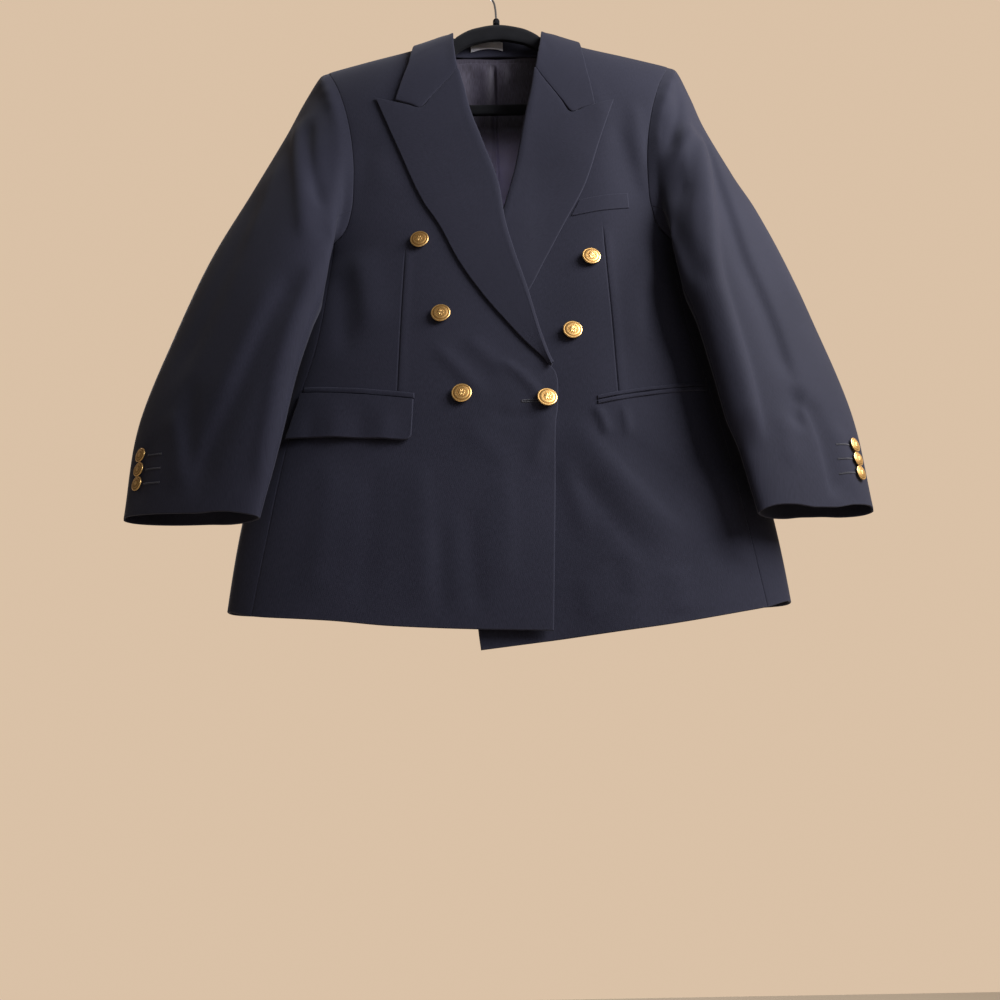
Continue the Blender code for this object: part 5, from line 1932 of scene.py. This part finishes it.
@dataclass
class NeckInside:
    """What shows in the neck: the back lining with its pleat, and the bare label."""

    lining_cut: Cut = Cut(0.36, 0.76, 0.208)
    label_cut: Cut = Cut(0.0425, 0.0150, 0.00062, "laid")

    def lining(self) -> None:
        """Make the back lining from the neck seam down."""
        across = np.concatenate([
            np.linspace(-0.150, -0.030, 26), np.linspace(-0.027, 0.027, 46),
            np.linspace(0.030, 0.150, 26),
        ])
        x, fall = np.meshgrid(across, stations(0.74, 0.0042), indexing="ij")
        wide = np.abs(x)
        top = np.where(wide < Body.neck_side, Body.back_neck(wide), Body.ridge(wide)) - 0.0045
        top = top - 0.010 * ease((wide - 0.055) / 0.012)
        z = top * (1 - fall) + (Body.back_hem(wide) + 0.018) * fall
        point = np.stack([x, Body.depth(x, z, False), z], axis=-1)
        normal = Body.normal(point)
        normal[..., 2] = np.minimum(normal[..., 2], 0.6)
        near = point - normal * (CLOTH + 0.0010)
        base_fold = folded(BACK_FOLDS, x, z) * ease(1.8 * Body.share(x, z))
        drape = folded(LINING_FOLDS, x, z) * ease((top - z) / 0.012)
        grid = near - normal * (0.0034 + drape - np.minimum(base_fold, 0.0))[..., None]
        # The lining's own outer face looks into the neck, towards the front.
        sheet = Sheet(
            "lining_back_drop", grid, AHEAD, ALL_FREE, thick=0.0011, finish=SATIN
        )
        sew(sheet, "lining_back")

    def label_grid(self, out: float) -> Array:
        """Return the label's face on the inside of the collar's stand.

        Args:
            out: metres off the stand.

        Returns:
            The points, coordinates in the last axis.
        """
        x, t = np.meshgrid(
            -0.0350 + 0.0420 * stations(0.042, 0.0012), stations(0.0145, 0.0010), indexing="ij"
        )
        t = 0.24 + 0.38 * (1 - t)
        low, high = COLLAR_BASE(np.abs(x) / 0.2), COLLAR_FOLD(np.abs(x) / 0.2)
        spot = low + (high - low) * t[..., None]
        spot[..., 0] = x
        spot[..., 1] -= out + 0.0004 * hump(x + 0.010, 0.008)
        spot[..., 2] += 0.0030 - 0.0042 * ((x + 0.0140) / 0.021) ** 2
        return spot

    def label(self, stitches: "StitchRun") -> None:
        """Make the bare label and sew it down at its ends.

        Args:
            stitches: lays the stitches.
        """
        grid = self.label_grid(0.0016)
        sheet = Sheet(
            "label_bare", grid, AHEAD, ALL_FREE, thick=0.0008, finish=LABEL
        )
        sew(sheet, "label")
        face = self.label_grid(0.0017)
        frame_line = np.concatenate([
            face[6:-6, 6], face[-7, 6:-6], face[6:-6, -7][::-1], face[6, 6:-6][::-1]
        ])
        lie = np.tile([0.0, -1.0, 0.0], (len(frame_line), 1))
        stitches.lay(
            "label_stitches", [(frame_line, lie, True)],
            Stitch(0.0022, 0.0013, 0.00028, 0.0), LABEL_THREAD,
        )

    def build(self, stitches: "StitchRun") -> None:
        """Make the lining and the label."""
        self.lining()
        self.label(stitches)


# Stitches


@dataclass(frozen=True)
class Stitch:
    """The sizes of a run of stitches: spacing, length, thickness and slant."""

    spacing: float
    length: float
    width: float
    slant: float


class StitchRun:
    """Geometry Nodes that lay separate stitches along a guide line."""

    inputs = ("Spacing", "Stitch length", "Stitch width", "Slant")

    def __init__(self) -> None:
        """Build the node tree."""
        self.tree = bpy.data.node_groups.new("stitch_run", "GeometryNodeTree")
        sockets = self.tree.interface
        sockets.new_socket(name="Guide", in_out="INPUT", socket_type="NodeSocketGeometry")
        for name in self.inputs:
            sockets.new_socket(name=name, in_out="INPUT", socket_type="NodeSocketFloat")
        sockets.new_socket(name="Thread", in_out="INPUT", socket_type="NodeSocketMaterial")
        sockets.new_socket(name="Stitches", in_out="OUTPUT", socket_type="NodeSocketGeometry")
        g = Graph(self.tree)
        given = {s.name: Signal(g, s) for s in g.node("NodeGroupInput").outputs if s.name}
        line = g.out("GeometryNodeMeshToCurve", None, {"Mesh": given["Guide"]})
        line = g.out(
            "GeometryNodeResampleCurve", {"mode": "LENGTH"},
            {"Curve": line, "Length": given["Spacing"]},
        )
        lie = g.out(
            "GeometryNodeInputNamedAttribute", {"data_type": "FLOAT_VECTOR"}, {"Name": "lie"}
        )
        rotation = g.out(
            "FunctionNodeAlignRotationToVector", {"axis": "Z"}, {"Vector": lie}
        )
        tangent = g.out("GeometryNodeInputTangent")
        rotation = g.out(
            "FunctionNodeAlignRotationToVector", {"axis": "X", "pivot_axis": "Z"},
            {"Rotation": rotation, "Vector": tangent},
        )
        size = g.out(
            "ShaderNodeCombineXYZ", None,
            {0: given["Stitch length"], 1: given["Stitch width"], 2: given["Stitch width"]},
        )
        turn = g.out("ShaderNodeCombineXYZ", None, {2: given["Slant"]})
        bead = g.out("GeometryNodeMeshUVSphere", None, {"Segments": 8, "Rings": 5, "Radius": 0.5})
        bead = g.out(
            "GeometryNodeTransform", None, {"Geometry": bead, "Scale": size, "Rotation": turn}
        )
        laid = g.out(
            "GeometryNodeInstanceOnPoints", None,
            {"Points": line, "Instance": bead, "Rotation": rotation},
        )
        laid = g.out("GeometryNodeSetShadeSmooth", None, {0: laid})
        laid = g.out("GeometryNodeRealizeInstances", None, {0: laid})
        laid = g.out("GeometryNodeSetMaterial", None, {"Geometry": laid, "Material": given["Thread"]})
        g.node("NodeGroupOutput", None, {0: laid})

    def lay(
        self, name: str, guides: Sequence[tuple[Array, Array, bool]], stitch: Stitch,
        thread: Thread,
    ) -> bpy.types.Object:
        """Lay stitches along guides and make them one plain mesh.

        Args:
            name: the piece's name.
            guides: (points, directions off the cloth, whether the line is closed) for each.
            stitch: the stitches' sizes.
            thread: the thread's finish.

        Returns:
            The piece.
        """
        points, lies, edges = [], [], []
        for line, lie, closed in guides:
            start = sum(len(part) for part in points)
            points.append(np.asarray(line))
            lies.append(np.asarray(lie))
            edges += [(start + k, start + k + 1) for k in range(len(line) - 1)]
            if closed:
                edges.append((start + len(line) - 1, start))
        mesh = bpy.data.meshes.new(name)
        mesh.from_pydata(np.concatenate(points).tolist(), edges, [])
        lie_layer = mesh.attributes.new("lie", "FLOAT_VECTOR", "POINT")
        lie_layer.data.foreach_set("vector", np.concatenate(lies).astype(np.float32).ravel())
        thing = bpy.data.objects.new(name, mesh)
        bpy.context.scene.collection.objects.link(thing)
        modifier = thing.modifiers.new("stitches", "NODES")
        modifier.node_group = self.tree
        ids = {s.name: s.identifier for s in self.tree.interface.items_tree if s.in_out == "INPUT"}
        sizes = (stitch.spacing, stitch.length, stitch.width, stitch.slant)
        for label, size in zip(self.inputs, sizes):
            modifier[ids[label]] = size
        modifier[ids["Thread"]] = thread.material()
        bpy.context.view_layer.update()
        done = thing.evaluated_get(bpy.context.evaluated_depsgraph_get())
        plain = bpy.data.meshes.new_from_object(done)
        thing.modifiers.remove(modifier)
        thing.data = plain
        plain.name = name
        return report(thing, [])


@dataclass
class Buttonholes:
    """The worked buttonhole beside the closing button and the sham ones on the cuffs."""

    closing: Line = ((0.0330, -0.6720), (0.0170, -0.6722))
    purl: Stitch = Stitch(0.00062, 0.0019, 0.00050, math.pi / 2)

    def ring(self, start: Array, end: Array, place: Callable, half: float) -> tuple[Array, Array]:
        """Return the line round a slit and the directions off the cloth.

        Args:
            start: one end of the slit, in the surface's two coordinates.
            end: the other end.
            place: a function from those coordinates to points and normals.
            half: half the distance between the two sides.

        Returns:
            The points and the directions.
        """
        way = (end - start) / np.linalg.norm(end - start)
        off = np.array([-way[1], way[0]]) * half
        k = np.linspace(0, 1, 24)[:, None]
        turn = np.linspace(0, math.pi, 9)[1:-1, None]
        spots = np.concatenate([
            start + off + (end - start) * k,
            end + off * np.cos(turn) + way * half * np.sin(turn),
            end - off + (start - end) * k,
            start - off * np.cos(turn) - way * half * np.sin(turn),
        ])
        return place(spots)

    def closing_hole(self, stitches: StitchRun) -> None:
        """Work the buttonhole beside the closing button.

        Args:
            stitches: lays the stitches.
        """

        def place(spots: Array) -> tuple[Array, Array]:
            """Return points and normals on the over front."""
            point = Body.front(spots[:, 0], spots[:, 1], 0.0003)
            return point, Body.normal(point)

        start, end = (np.array(p) for p in self.closing)
        line, lie = self.ring(start, end, place, 0.0010)
        stitches.lay("buttonhole_closing", [(line, lie, True)], self.purl, NAVY_THREAD)

    def sham_holes(self, sleeve: Sleeve, stitches: StitchRun) -> None:
        """Work the sham buttonholes beside a sleeve's cuff buttons.

        Args:
            sleeve: the sleeve.
            stitches: lays the stitches.
        """
        guides = []
        for k, down in enumerate(CUFF_BUTTONS):
            def place(spots: Array) -> tuple[Array, Array]:
                """Return points and normals on the sleeve."""
                point, normal = sleeve.folded_at(spots[:, 0], spots[:, 1])
                return point + normal * 0.0002, normal

            turn = np.linspace(0.74, 1.02 + 0.02 * k, 20)
            point, normal = place(np.stack([np.full(20, down), turn], axis=-1))
            guides.append((point, normal, False))
        word = side_word(sleeve.side)
        stitches.lay(
            f"cuff_holes_{word}", guides, Stitch(0.00055, 0.0022, 0.0005, math.pi / 2),
            NAVY_THREAD,
        )


# Buttons


@dataclass(frozen=True)
class ButtonStamp:
    """A gilt button with a rope rim, a leaf wreath and a rosette, on a short shank."""

    radius: float
    height: float
    spokes: int
    rings: int

    def relief(self, r: Array, turn: Array) -> Array:
        """Return the stamped height, 0..1 of its depth.

        Args:
            r: distance from the middle as a share of the radius.
            turn: the angle.

        Returns:
            The relief in the shape of r.
        """
        boss = 1.1 * hump(r, 0.075)
        petals = ease((r - 0.08) / 0.06) * ease((0.37 - r) / 0.07)
        petals = petals * (0.5 + 0.5 * np.cos(8 * turn)) ** 0.7
        beads = hump(r - 0.43, 0.026) * (0.55 + 0.45 * np.cos(28 * turn))
        stem = 0.45 * hump(r - 0.62, 0.020)
        leaf = np.cos(18 * turn + np.sign(r - 0.62) * 34 * (r - 0.62)) ** 2
        wreath = ease((r - 0.50) / 0.03) * ease((0.75 - r) / 0.03) * leaf * 0.95
        rope = hump(r - 0.92, 0.055) * (1.0 + 0.25 * np.cos(44 * turn + 40 * r))
        return boss + petals + beads + np.maximum(stem, wreath) + rope

    def build(self, name: str, centre: Array, axis: Array, spin: float, node: str) -> None:
        """Make the button on its cloth.

        Args:
            name: the piece's name.
            centre: the foot of its shank.
            axis: the way it faces.
            spin: how far it is turned about its axis.
            node: the solid that it stands for.
        """
        face = np.concatenate([[0.0], np.linspace(0.03, 0.86, self.rings), [0.90, 0.94, 0.97]])
        turn = np.linspace(0, math.tau, self.spokes, endpoint=False)
        r, a = np.meshgrid(face, turn, indexing="xy")
        stamp = self.relief(r, a) * ease(r / 0.02 + 0.5)
        dome = self.height * (0.93 - 0.16 * (r / 0.86) ** 2)
        lift = dome + self.radius * 0.030 * stamp
        lift[:, 0] = lift[:, 0].mean()
        # Side, underside and shank, from the rim down to the cloth.
        rest = ((1.0, 0.72), (1.0, 0.62), (0.965, 0.50), (0.86, 0.37), (0.55, 0.31), (0.26, 0.30),
                (0.24, 0.22), (0.24, 0.0), (0.0, 0.0))
        radii = np.concatenate([r, np.tile([p[0] for p in rest], (self.spokes, 1))], axis=1)
        heights = np.concatenate(
            [lift, np.tile([p[1] * self.height for p in rest], (self.spokes, 1))], axis=1
        )
        angle = a[:, :1] + spin
        local = np.stack(
            [radii * self.radius * np.cos(angle), radii * self.radius * np.sin(angle), heights], axis=-1
        )
        rotation = np.array(Vector(axis).to_track_quat("Z", "Y").to_matrix())
        world = local @ rotation.T + centre
        columns, rows = world.shape[:2]
        faces = quads(columns, rows, 0, True)
        hollow = np.ones((columns, rows)) * 0.35
        hollow[:, :len(face)] = 1 - np.clip(stamp, 0, 1)
        thing = new_object(
            name, world.reshape(-1, 3), faces, [GILT.material()], None, None,
            {"hollow": hollow.ravel()},
        )
        weld(thing)
        report(thing, [node])


def weld(thing: bpy.types.Object) -> None:
    """Close the poles of a turned mesh and face it outwards.

    Args:
        thing: the mesh object.
    """
    shape = bmesh.new()
    shape.from_mesh(thing.data)
    bmesh.ops.remove_doubles(shape, verts=shape.verts, dist=0.000002)
    bmesh.ops.recalc_face_normals(shape, faces=shape.faces)
    shape.to_mesh(thing.data)
    shape.free()
    thing.data.shade_smooth()


@dataclass
class Buttons:
    """The six buttons of the fronts and the three of each cuff."""

    front: ButtonStamp = ButtonStamp(0.0100, 0.0052, 112, 30)
    cuff: ButtonStamp = ButtonStamp(0.0073, 0.0042, 80, 22)

    def build(self, sleeves: Sequence[Sleeve]) -> None:
        """Make every button.

        Args:
            sleeves: both sleeves.
        """
        rows = (
            ("right_top", -0.0884, -0.4759, False, (0, 0), 0.3),
            ("right_middle", -0.0646, -0.5703, False, (0, 0), 1.1),
            ("right_bottom", -0.0430, -0.6635, False, (0, 0), 2.0),
            ("left_top", 0.0947, -0.4996, True, (0, 0), 0.7),
            ("left_middle", 0.0706, -0.5894, True, (0, 0), 1.6),
            ("closing", 0.0407, -0.6702, False, (0.10, 0.10), 0.2),
        )
        for word, x, z, under, lean, spin in rows:
            spot = Body.front(x, z, 0.0002, under)
            axis = Body.normal(spot) + np.array([lean[0], 0, lean[1]])
            self.front.build(f"gilt_{word}", spot, axis, spin, f"button_{word}")
        for sleeve in sleeves:
            word = side_word(sleeve.side)
            for number, down in enumerate(CUFF_BUTTONS, 1):
                spot, normal = sleeve.folded_at(np.array([down]), np.array([0.62]))
                self.cuff.build(
                    f"gilt_cuff_{word}_{number}", spot[0] + normal[0] * 0.0001, normal[0],
                    0.4 * number, f"cuff_button_{word}_{number}",
                )


# Hanger


@dataclass
class Hanger:
    """The slim flocked hanger with its trouser bar, and the wire hook."""

    thick: float = 0.0050
    corner: float = 0.0019
    wire: float = 0.0015
    seat: float = 0.0045
    below: float = 0.0027
    arch: Curve = Curve(
        (-0.030, -0.1010), (0.0, -0.0950), (0.030, -0.1010), (0.050, -0.1130),
        (0.0560, -0.1195), (0.062, -0.1285), (0.068, -0.1380), (0.074, -0.1445),
        (0.082, -0.1475), (0.101, float(Body.ridge(0.101)) - below),
    )
    arm_height: Curve = Curve((0.0, 0.026), (0.05, 0.026), (0.10, 0.020), (0.19, 0.016), (0.21, 0.016))

    def loops(self) -> tuple[Array, Array]:
        """Return the outer and inner outlines, point by point alike.

        Returns:
            Two closed lines in (x, z).
        """
        half = np.unique(np.concatenate([
            np.linspace(self.seat, 0.186, 84), np.array([0.052, 0.056, 0.060, 0.066, 0.072, 0.078]),
        ]))
        x = np.concatenate([-half[::-1], half])
        wide = np.abs(x)
        top = np.where(wide < 0.101, self.arch(wide), Body.ridge(wide) - self.below)
        outer = np.stack([x, top], axis=-1)
        inner = np.stack([x, top - self.arm_height(wide)], axis=-1)
        outer_tip = np.array([
            (0.186, float(Body.ridge(0.186)) - self.below),
            (0.1990, float(Body.ridge(0.199)) - 0.0030),
            (0.2040, -0.1900), (0.2060, -0.2080), (0.2040, -0.2300), (0.1960, -0.2440),
            (0.1820, -0.2475),
        ])
        inner_tip = np.array([
            (0.186, float(Body.ridge(0.186)) - 0.0187), (0.1890, -0.1990), (0.1925, -0.2060),
            (0.1940, -0.2160), (0.1925, -0.2250), (0.1870, -0.2310), (0.1820, -0.2325),
        ])
        places = np.linspace(0, 6, 43)[1:]
        tips = [through(tip, np.arange(7.0), places) for tip in (outer_tip, inner_tip)]
        across = np.linspace(0.178, -0.178, 60)
        bars = [np.stack([across, np.full(60, z)], axis=-1) for z in (-0.2475, -0.2325)]
        return tuple(
            np.concatenate([line, tip, bar, tip[::-1] * [-1, 1]])
            for line, tip, bar in zip((outer, inner), tips, bars)
        )

    def frame_piece(self) -> None:
        """Make the flocked frame as one closed band with rounded edges."""
        outer, inner = self.loops()
        middle, arm = (outer + inner) / 2, (outer - inner) / 2
        reach = np.linalg.norm(arm, axis=-1, keepdims=True)
        arm = arm / reach
        ring = []
        for k in range(24):
            turn = math.tau * (k + 0.5) / 24
            c, s = math.cos(turn), math.sin(turn)
            high = np.sign(c) * (reach - self.corner) + self.corner * np.sign(c) * abs(c) ** 0.8
            side = math.copysign(self.thick / 2 - self.corner, s)
            side += self.corner * math.copysign(abs(s) ** 0.8, s)
            if abs(c) < 0.5:
                high = reach * c * 1.2
                side = math.copysign(self.thick / 2, s)
            spot = middle + arm * high
            ring.append(np.stack([spot[:, 0], np.full(len(spot), side), spot[:, 1]], axis=-1))
        points = np.stack(ring, axis=1)
        columns, rows = points.shape[:2]
        faces = quads(columns, rows, 0, True)
        start = np.arange(columns) * rows
        after = np.roll(start, -1)
        closing = np.stack([start + rows - 1, after + rows - 1, after, start], axis=-1)
        faces = np.concatenate([faces, closing])
        thing = new_object("hanger_flocked", points.reshape(-1, 3), faces, [VELVET.material()])
        weld(thing)
        report(thing, ["hanger_frame"])

    def hook(self) -> None:
        """Make the wire hook with its ferrule, its inner top at the origin."""
        foot = float(self.arch(self.seat)) + GAP
        turn = 0.020 + self.wire
        line = [(-0.0020, -0.0640), (-0.0040, -0.0520), (-0.0085, -0.0435), (-0.0140, -0.0375)]
        for k in range(15):
            angle = math.radians(208 - 246 * k / 14)
            line.append((turn * math.cos(angle), -0.020 + turn * math.sin(angle)))
        line = np.array([(-0.0010, -0.0835), (-0.0011, -0.0820), *line])
        run = np.concatenate([[0], np.cumsum(np.linalg.norm(np.diff(line, axis=0), axis=1))])
        wire = through(line, run, np.linspace(0, run[-1], 150))
        # Ferrule below, with two shallow grooves, then the wire and its rounded end.
        ferrule = [
            (foot, 0.2), (foot, 2.6), (foot + 0.0004, 2.93), (-0.0925, 2.93), (-0.0922, 2.70),
            (-0.0919, 2.93), (-0.0900, 2.93), (-0.0897, 2.70), (-0.0894, 2.93), (-0.0870, 2.93),
            (-0.0862, 2.80), (-0.0852, 2.10), (-0.0842, 1.5),
        ]
        spots = [(-0.0010, z, r) for z, r in ferrule] + [(x, z, 1.0) for x, z in wire[3:]]
        ahead = unit(wire[-1] - wire[-2])
        for k in range(1, 6):
            t = math.pi / 2 * k / 5
            end = wire[-1] + ahead * self.wire * math.sin(t)
            spots.append((end[0], end[1], max(math.cos(t), 0.02)))
        spots = np.array(spots)
        centre = spots[:, :2]
        way = np.gradient(wire, axis=0)
        way = np.concatenate([np.tile([0.0, 1.0], (len(ferrule), 1)), way[3:], np.tile(ahead, (5, 1))])
        way = unit(way)
        across = np.stack([way[:, 1], -way[:, 0]], axis=-1)
        angle = np.linspace(0, math.tau, 20, endpoint=False)
        radius = spots[:, 2:] * self.wire
        x = centre[:, :1] + across[:, :1] * radius * np.cos(angle)
        z = centre[:, 1:] + across[:, 1:] * radius * np.cos(angle)
        y = radius * np.sin(angle)
        points = np.stack([x, y, z], axis=-1)
        points = points.transpose(1, 0, 2)
        columns, rows = points.shape[:2]
        along = np.concatenate([[0], np.cumsum(np.linalg.norm(np.diff(centre, axis=0), axis=1))])
        uv = np.stack(np.broadcast_arrays(angle[:, None] * self.wire, along[None, :]), axis=-1)
        faces = quads(columns, rows, 0, True)
        caps = [points[:, 0].mean(axis=0), points[:, -1].mean(axis=0)]
        flat = points.reshape(-1, 3).copy()
        flat[np.arange(columns) * rows] = caps[0]
        flat[np.arange(columns) * rows + rows - 1] = caps[1]
        flocked = np.tile(np.arange(rows - 1) < len(ferrule) - 1, columns).astype(int)
        finishes = [WIRE.material(), VELVET.material()]
        thing = new_object("hook_wire", flat, faces, finishes, uv.reshape(-1, 2), flocked)
        weld(thing)
        report(thing, ["hanger_hook"])

    def build(self) -> None:
        """Make the hanger."""
        self.frame_piece()
        self.hook()


# Studio


@dataclass(frozen=True)
class Studio:
    """Camera, soft lights, pale world and floor.

    The focal length is in thousandths of the picture's width.
    """

    eye: tuple[float, float, float] = (-0.007, -0.713, -1.016)
    pitch: float = 20.0
    roll: float = 1.0
    focal: float = 751.0
    sensor: float = 36.0
    floor_z: float = -1.75
    floor_reach: float = 2.3
    bright_way: tuple[float, float, float] = (0, 0.94, 0.342)
    room: Colour = (0.700, 0.535, 0.385, 1.0)
    dim: Colour = (0.150, 0.138, 0.130, 1.0)

    def camera(self) -> None:
        """Place the camera as the photograph was taken."""
        data = bpy.data.cameras.new("photo_camera")
        data.sensor_width = self.sensor
        data.lens = self.focal * self.sensor / 1000.0
        data.dof.use_dof = False
        eye = bpy.data.objects.new("photo_camera", data)
        bpy.context.scene.collection.objects.link(eye)
        look = Euler((math.radians(90 + self.pitch), 0, 0)).to_matrix()
        look = look @ Matrix.Rotation(math.radians(-self.roll), 3, "Z")
        eye.matrix_world = Matrix.Translation(self.eye) @ look.to_4x4()
        bpy.context.scene.camera = eye

    def light(
        self, name: str, place: Sequence[float], aim: Sequence[float], size: float, power: float,
        tint: Sequence[float],
    ) -> None:
        """Hang a soft square light.

        Args:
            name: its name.
            place: where it is.
            aim: the point it faces.
            size: the length of its side.
            power: watts.
            tint: its colour.
        """
        data = bpy.data.lights.new(name, "AREA")
        data.shape, data.size, data.energy, data.color = "SQUARE", size, power, tint
        lamp = bpy.data.objects.new(name, data)
        bpy.context.scene.collection.objects.link(lamp)
        lamp.location = place
        lamp.rotation_euler = (Vector(aim) - Vector(place)).to_track_quat("-Z", "Y").to_euler()

    def world(self) -> None:
        """Fill the room with pale light, brighter behind the blazer than in front of it."""
        world = bpy.data.worlds.new("pale_room")
        world.use_nodes = True
        world.node_tree.nodes.clear()
        g = Graph(world.node_tree)
        way = g.out("ShaderNodeTexCoord", None, None, "Generated")
        ahead = g.out(
            "ShaderNodeVectorMath", {"operation": "DOT_PRODUCT"}, {0: way, 1: self.bright_way},
            "Value",
        )
        share = (ahead * 1.7 - 0.22).held()
        share = share * share * (3.0 - 2.0 * share)
        tone = g.mix(share, self.dim, self.room)
        shader = g.out("ShaderNodeBackground", None, {"Color": tone, "Strength": 1.0})
        g.node("ShaderNodeOutputWorld", None, {"Surface": shader})
        bpy.context.scene.world = world

    def floor(self) -> None:
        """Lay the pale floor."""
        size = self.floor_reach
        corners = np.array([(-size, -size), (size, -size), (size, size), (-size, size)])
        points = np.concatenate([corners, np.full((4, 1), self.floor_z)], axis=1)
        thing = new_object("studio_floor", points, np.array([[0, 1, 2, 3]]), [FLOOR.material()])

    def build(self) -> None:
        """Set up the studio."""
        self.camera()
        self.world()
        self.floor()
        self.light("key", (1.12, -0.74, 0.05), (0.15, 0, -0.40), 0.85, 56.0, (1.0, 0.985, 0.99))
        self.light("fill", (0.6, -2.3, -0.2), (0, 0, -0.4), 1.4, 5.5, (0.95, 0.96, 1.0))
        self.light("back", (-1.3, 1.5, 0.5), (0, 0, -0.4), 0.8, 28.0, (0.95, 0.96, 1.0))
        bpy.context.scene.view_settings.view_transform = "Standard"


def main() -> None:
    """Build the blazer, its hanger and the studio in order."""
    logging.basicConfig(level=logging.INFO, format="%(message)s")
    Studio().build()
    stitches = StitchRun()
    FrontPanel(
        -1, ((-0.1040, -0.4750), (-0.1065, -0.5770), (-0.1076, -0.6600)), Cut(0.30, 0.76, 0.156)
    ).build()
    FrontPanel(
        1, ((0.1100, -0.4500), (0.1120, -0.5810), (0.1126, -0.6650)), Cut(0.32, 0.79, 0.156)
    ).build()
    for side in (-1, 1):
        SidePanel(side, Cut(0.15, 0.43, 0.0433)).build()
        BackPanel(side, Cut(0.22, 0.76, 0.139)).build()
    Lapel(-1, Cut(0.14, 0.44, 0.029)).build()
    Lapel(1, Cut(0.14, 0.44, 0.027)).build()
    Collar().build()
    sleeves = (
        Sleeve(
            -1, RIGHT_SLEEVE_FOLDS, RIGHT_SLEEVE_BACK, Cut(0.30, 0.62, 0.108), Cut(0.24, 0.62, 0.086)
        ),
        Sleeve(
            1, LEFT_SLEEVE_FOLDS, LEFT_SLEEVE_BACK, Cut(0.30, 0.62, 0.103), Cut(0.24, 0.62, 0.079)
        ),
    )
    holes = Buttonholes()
    for sleeve in sleeves:
        sleeve.build()
        holes.sham_holes(sleeve, stitches)
    Pockets().build()
    NeckInside().build(stitches)
    holes.closing_hole(stitches)
    Buttons().build(sleeves)
    Hanger().build()


if __name__ == "__main__":
    main()
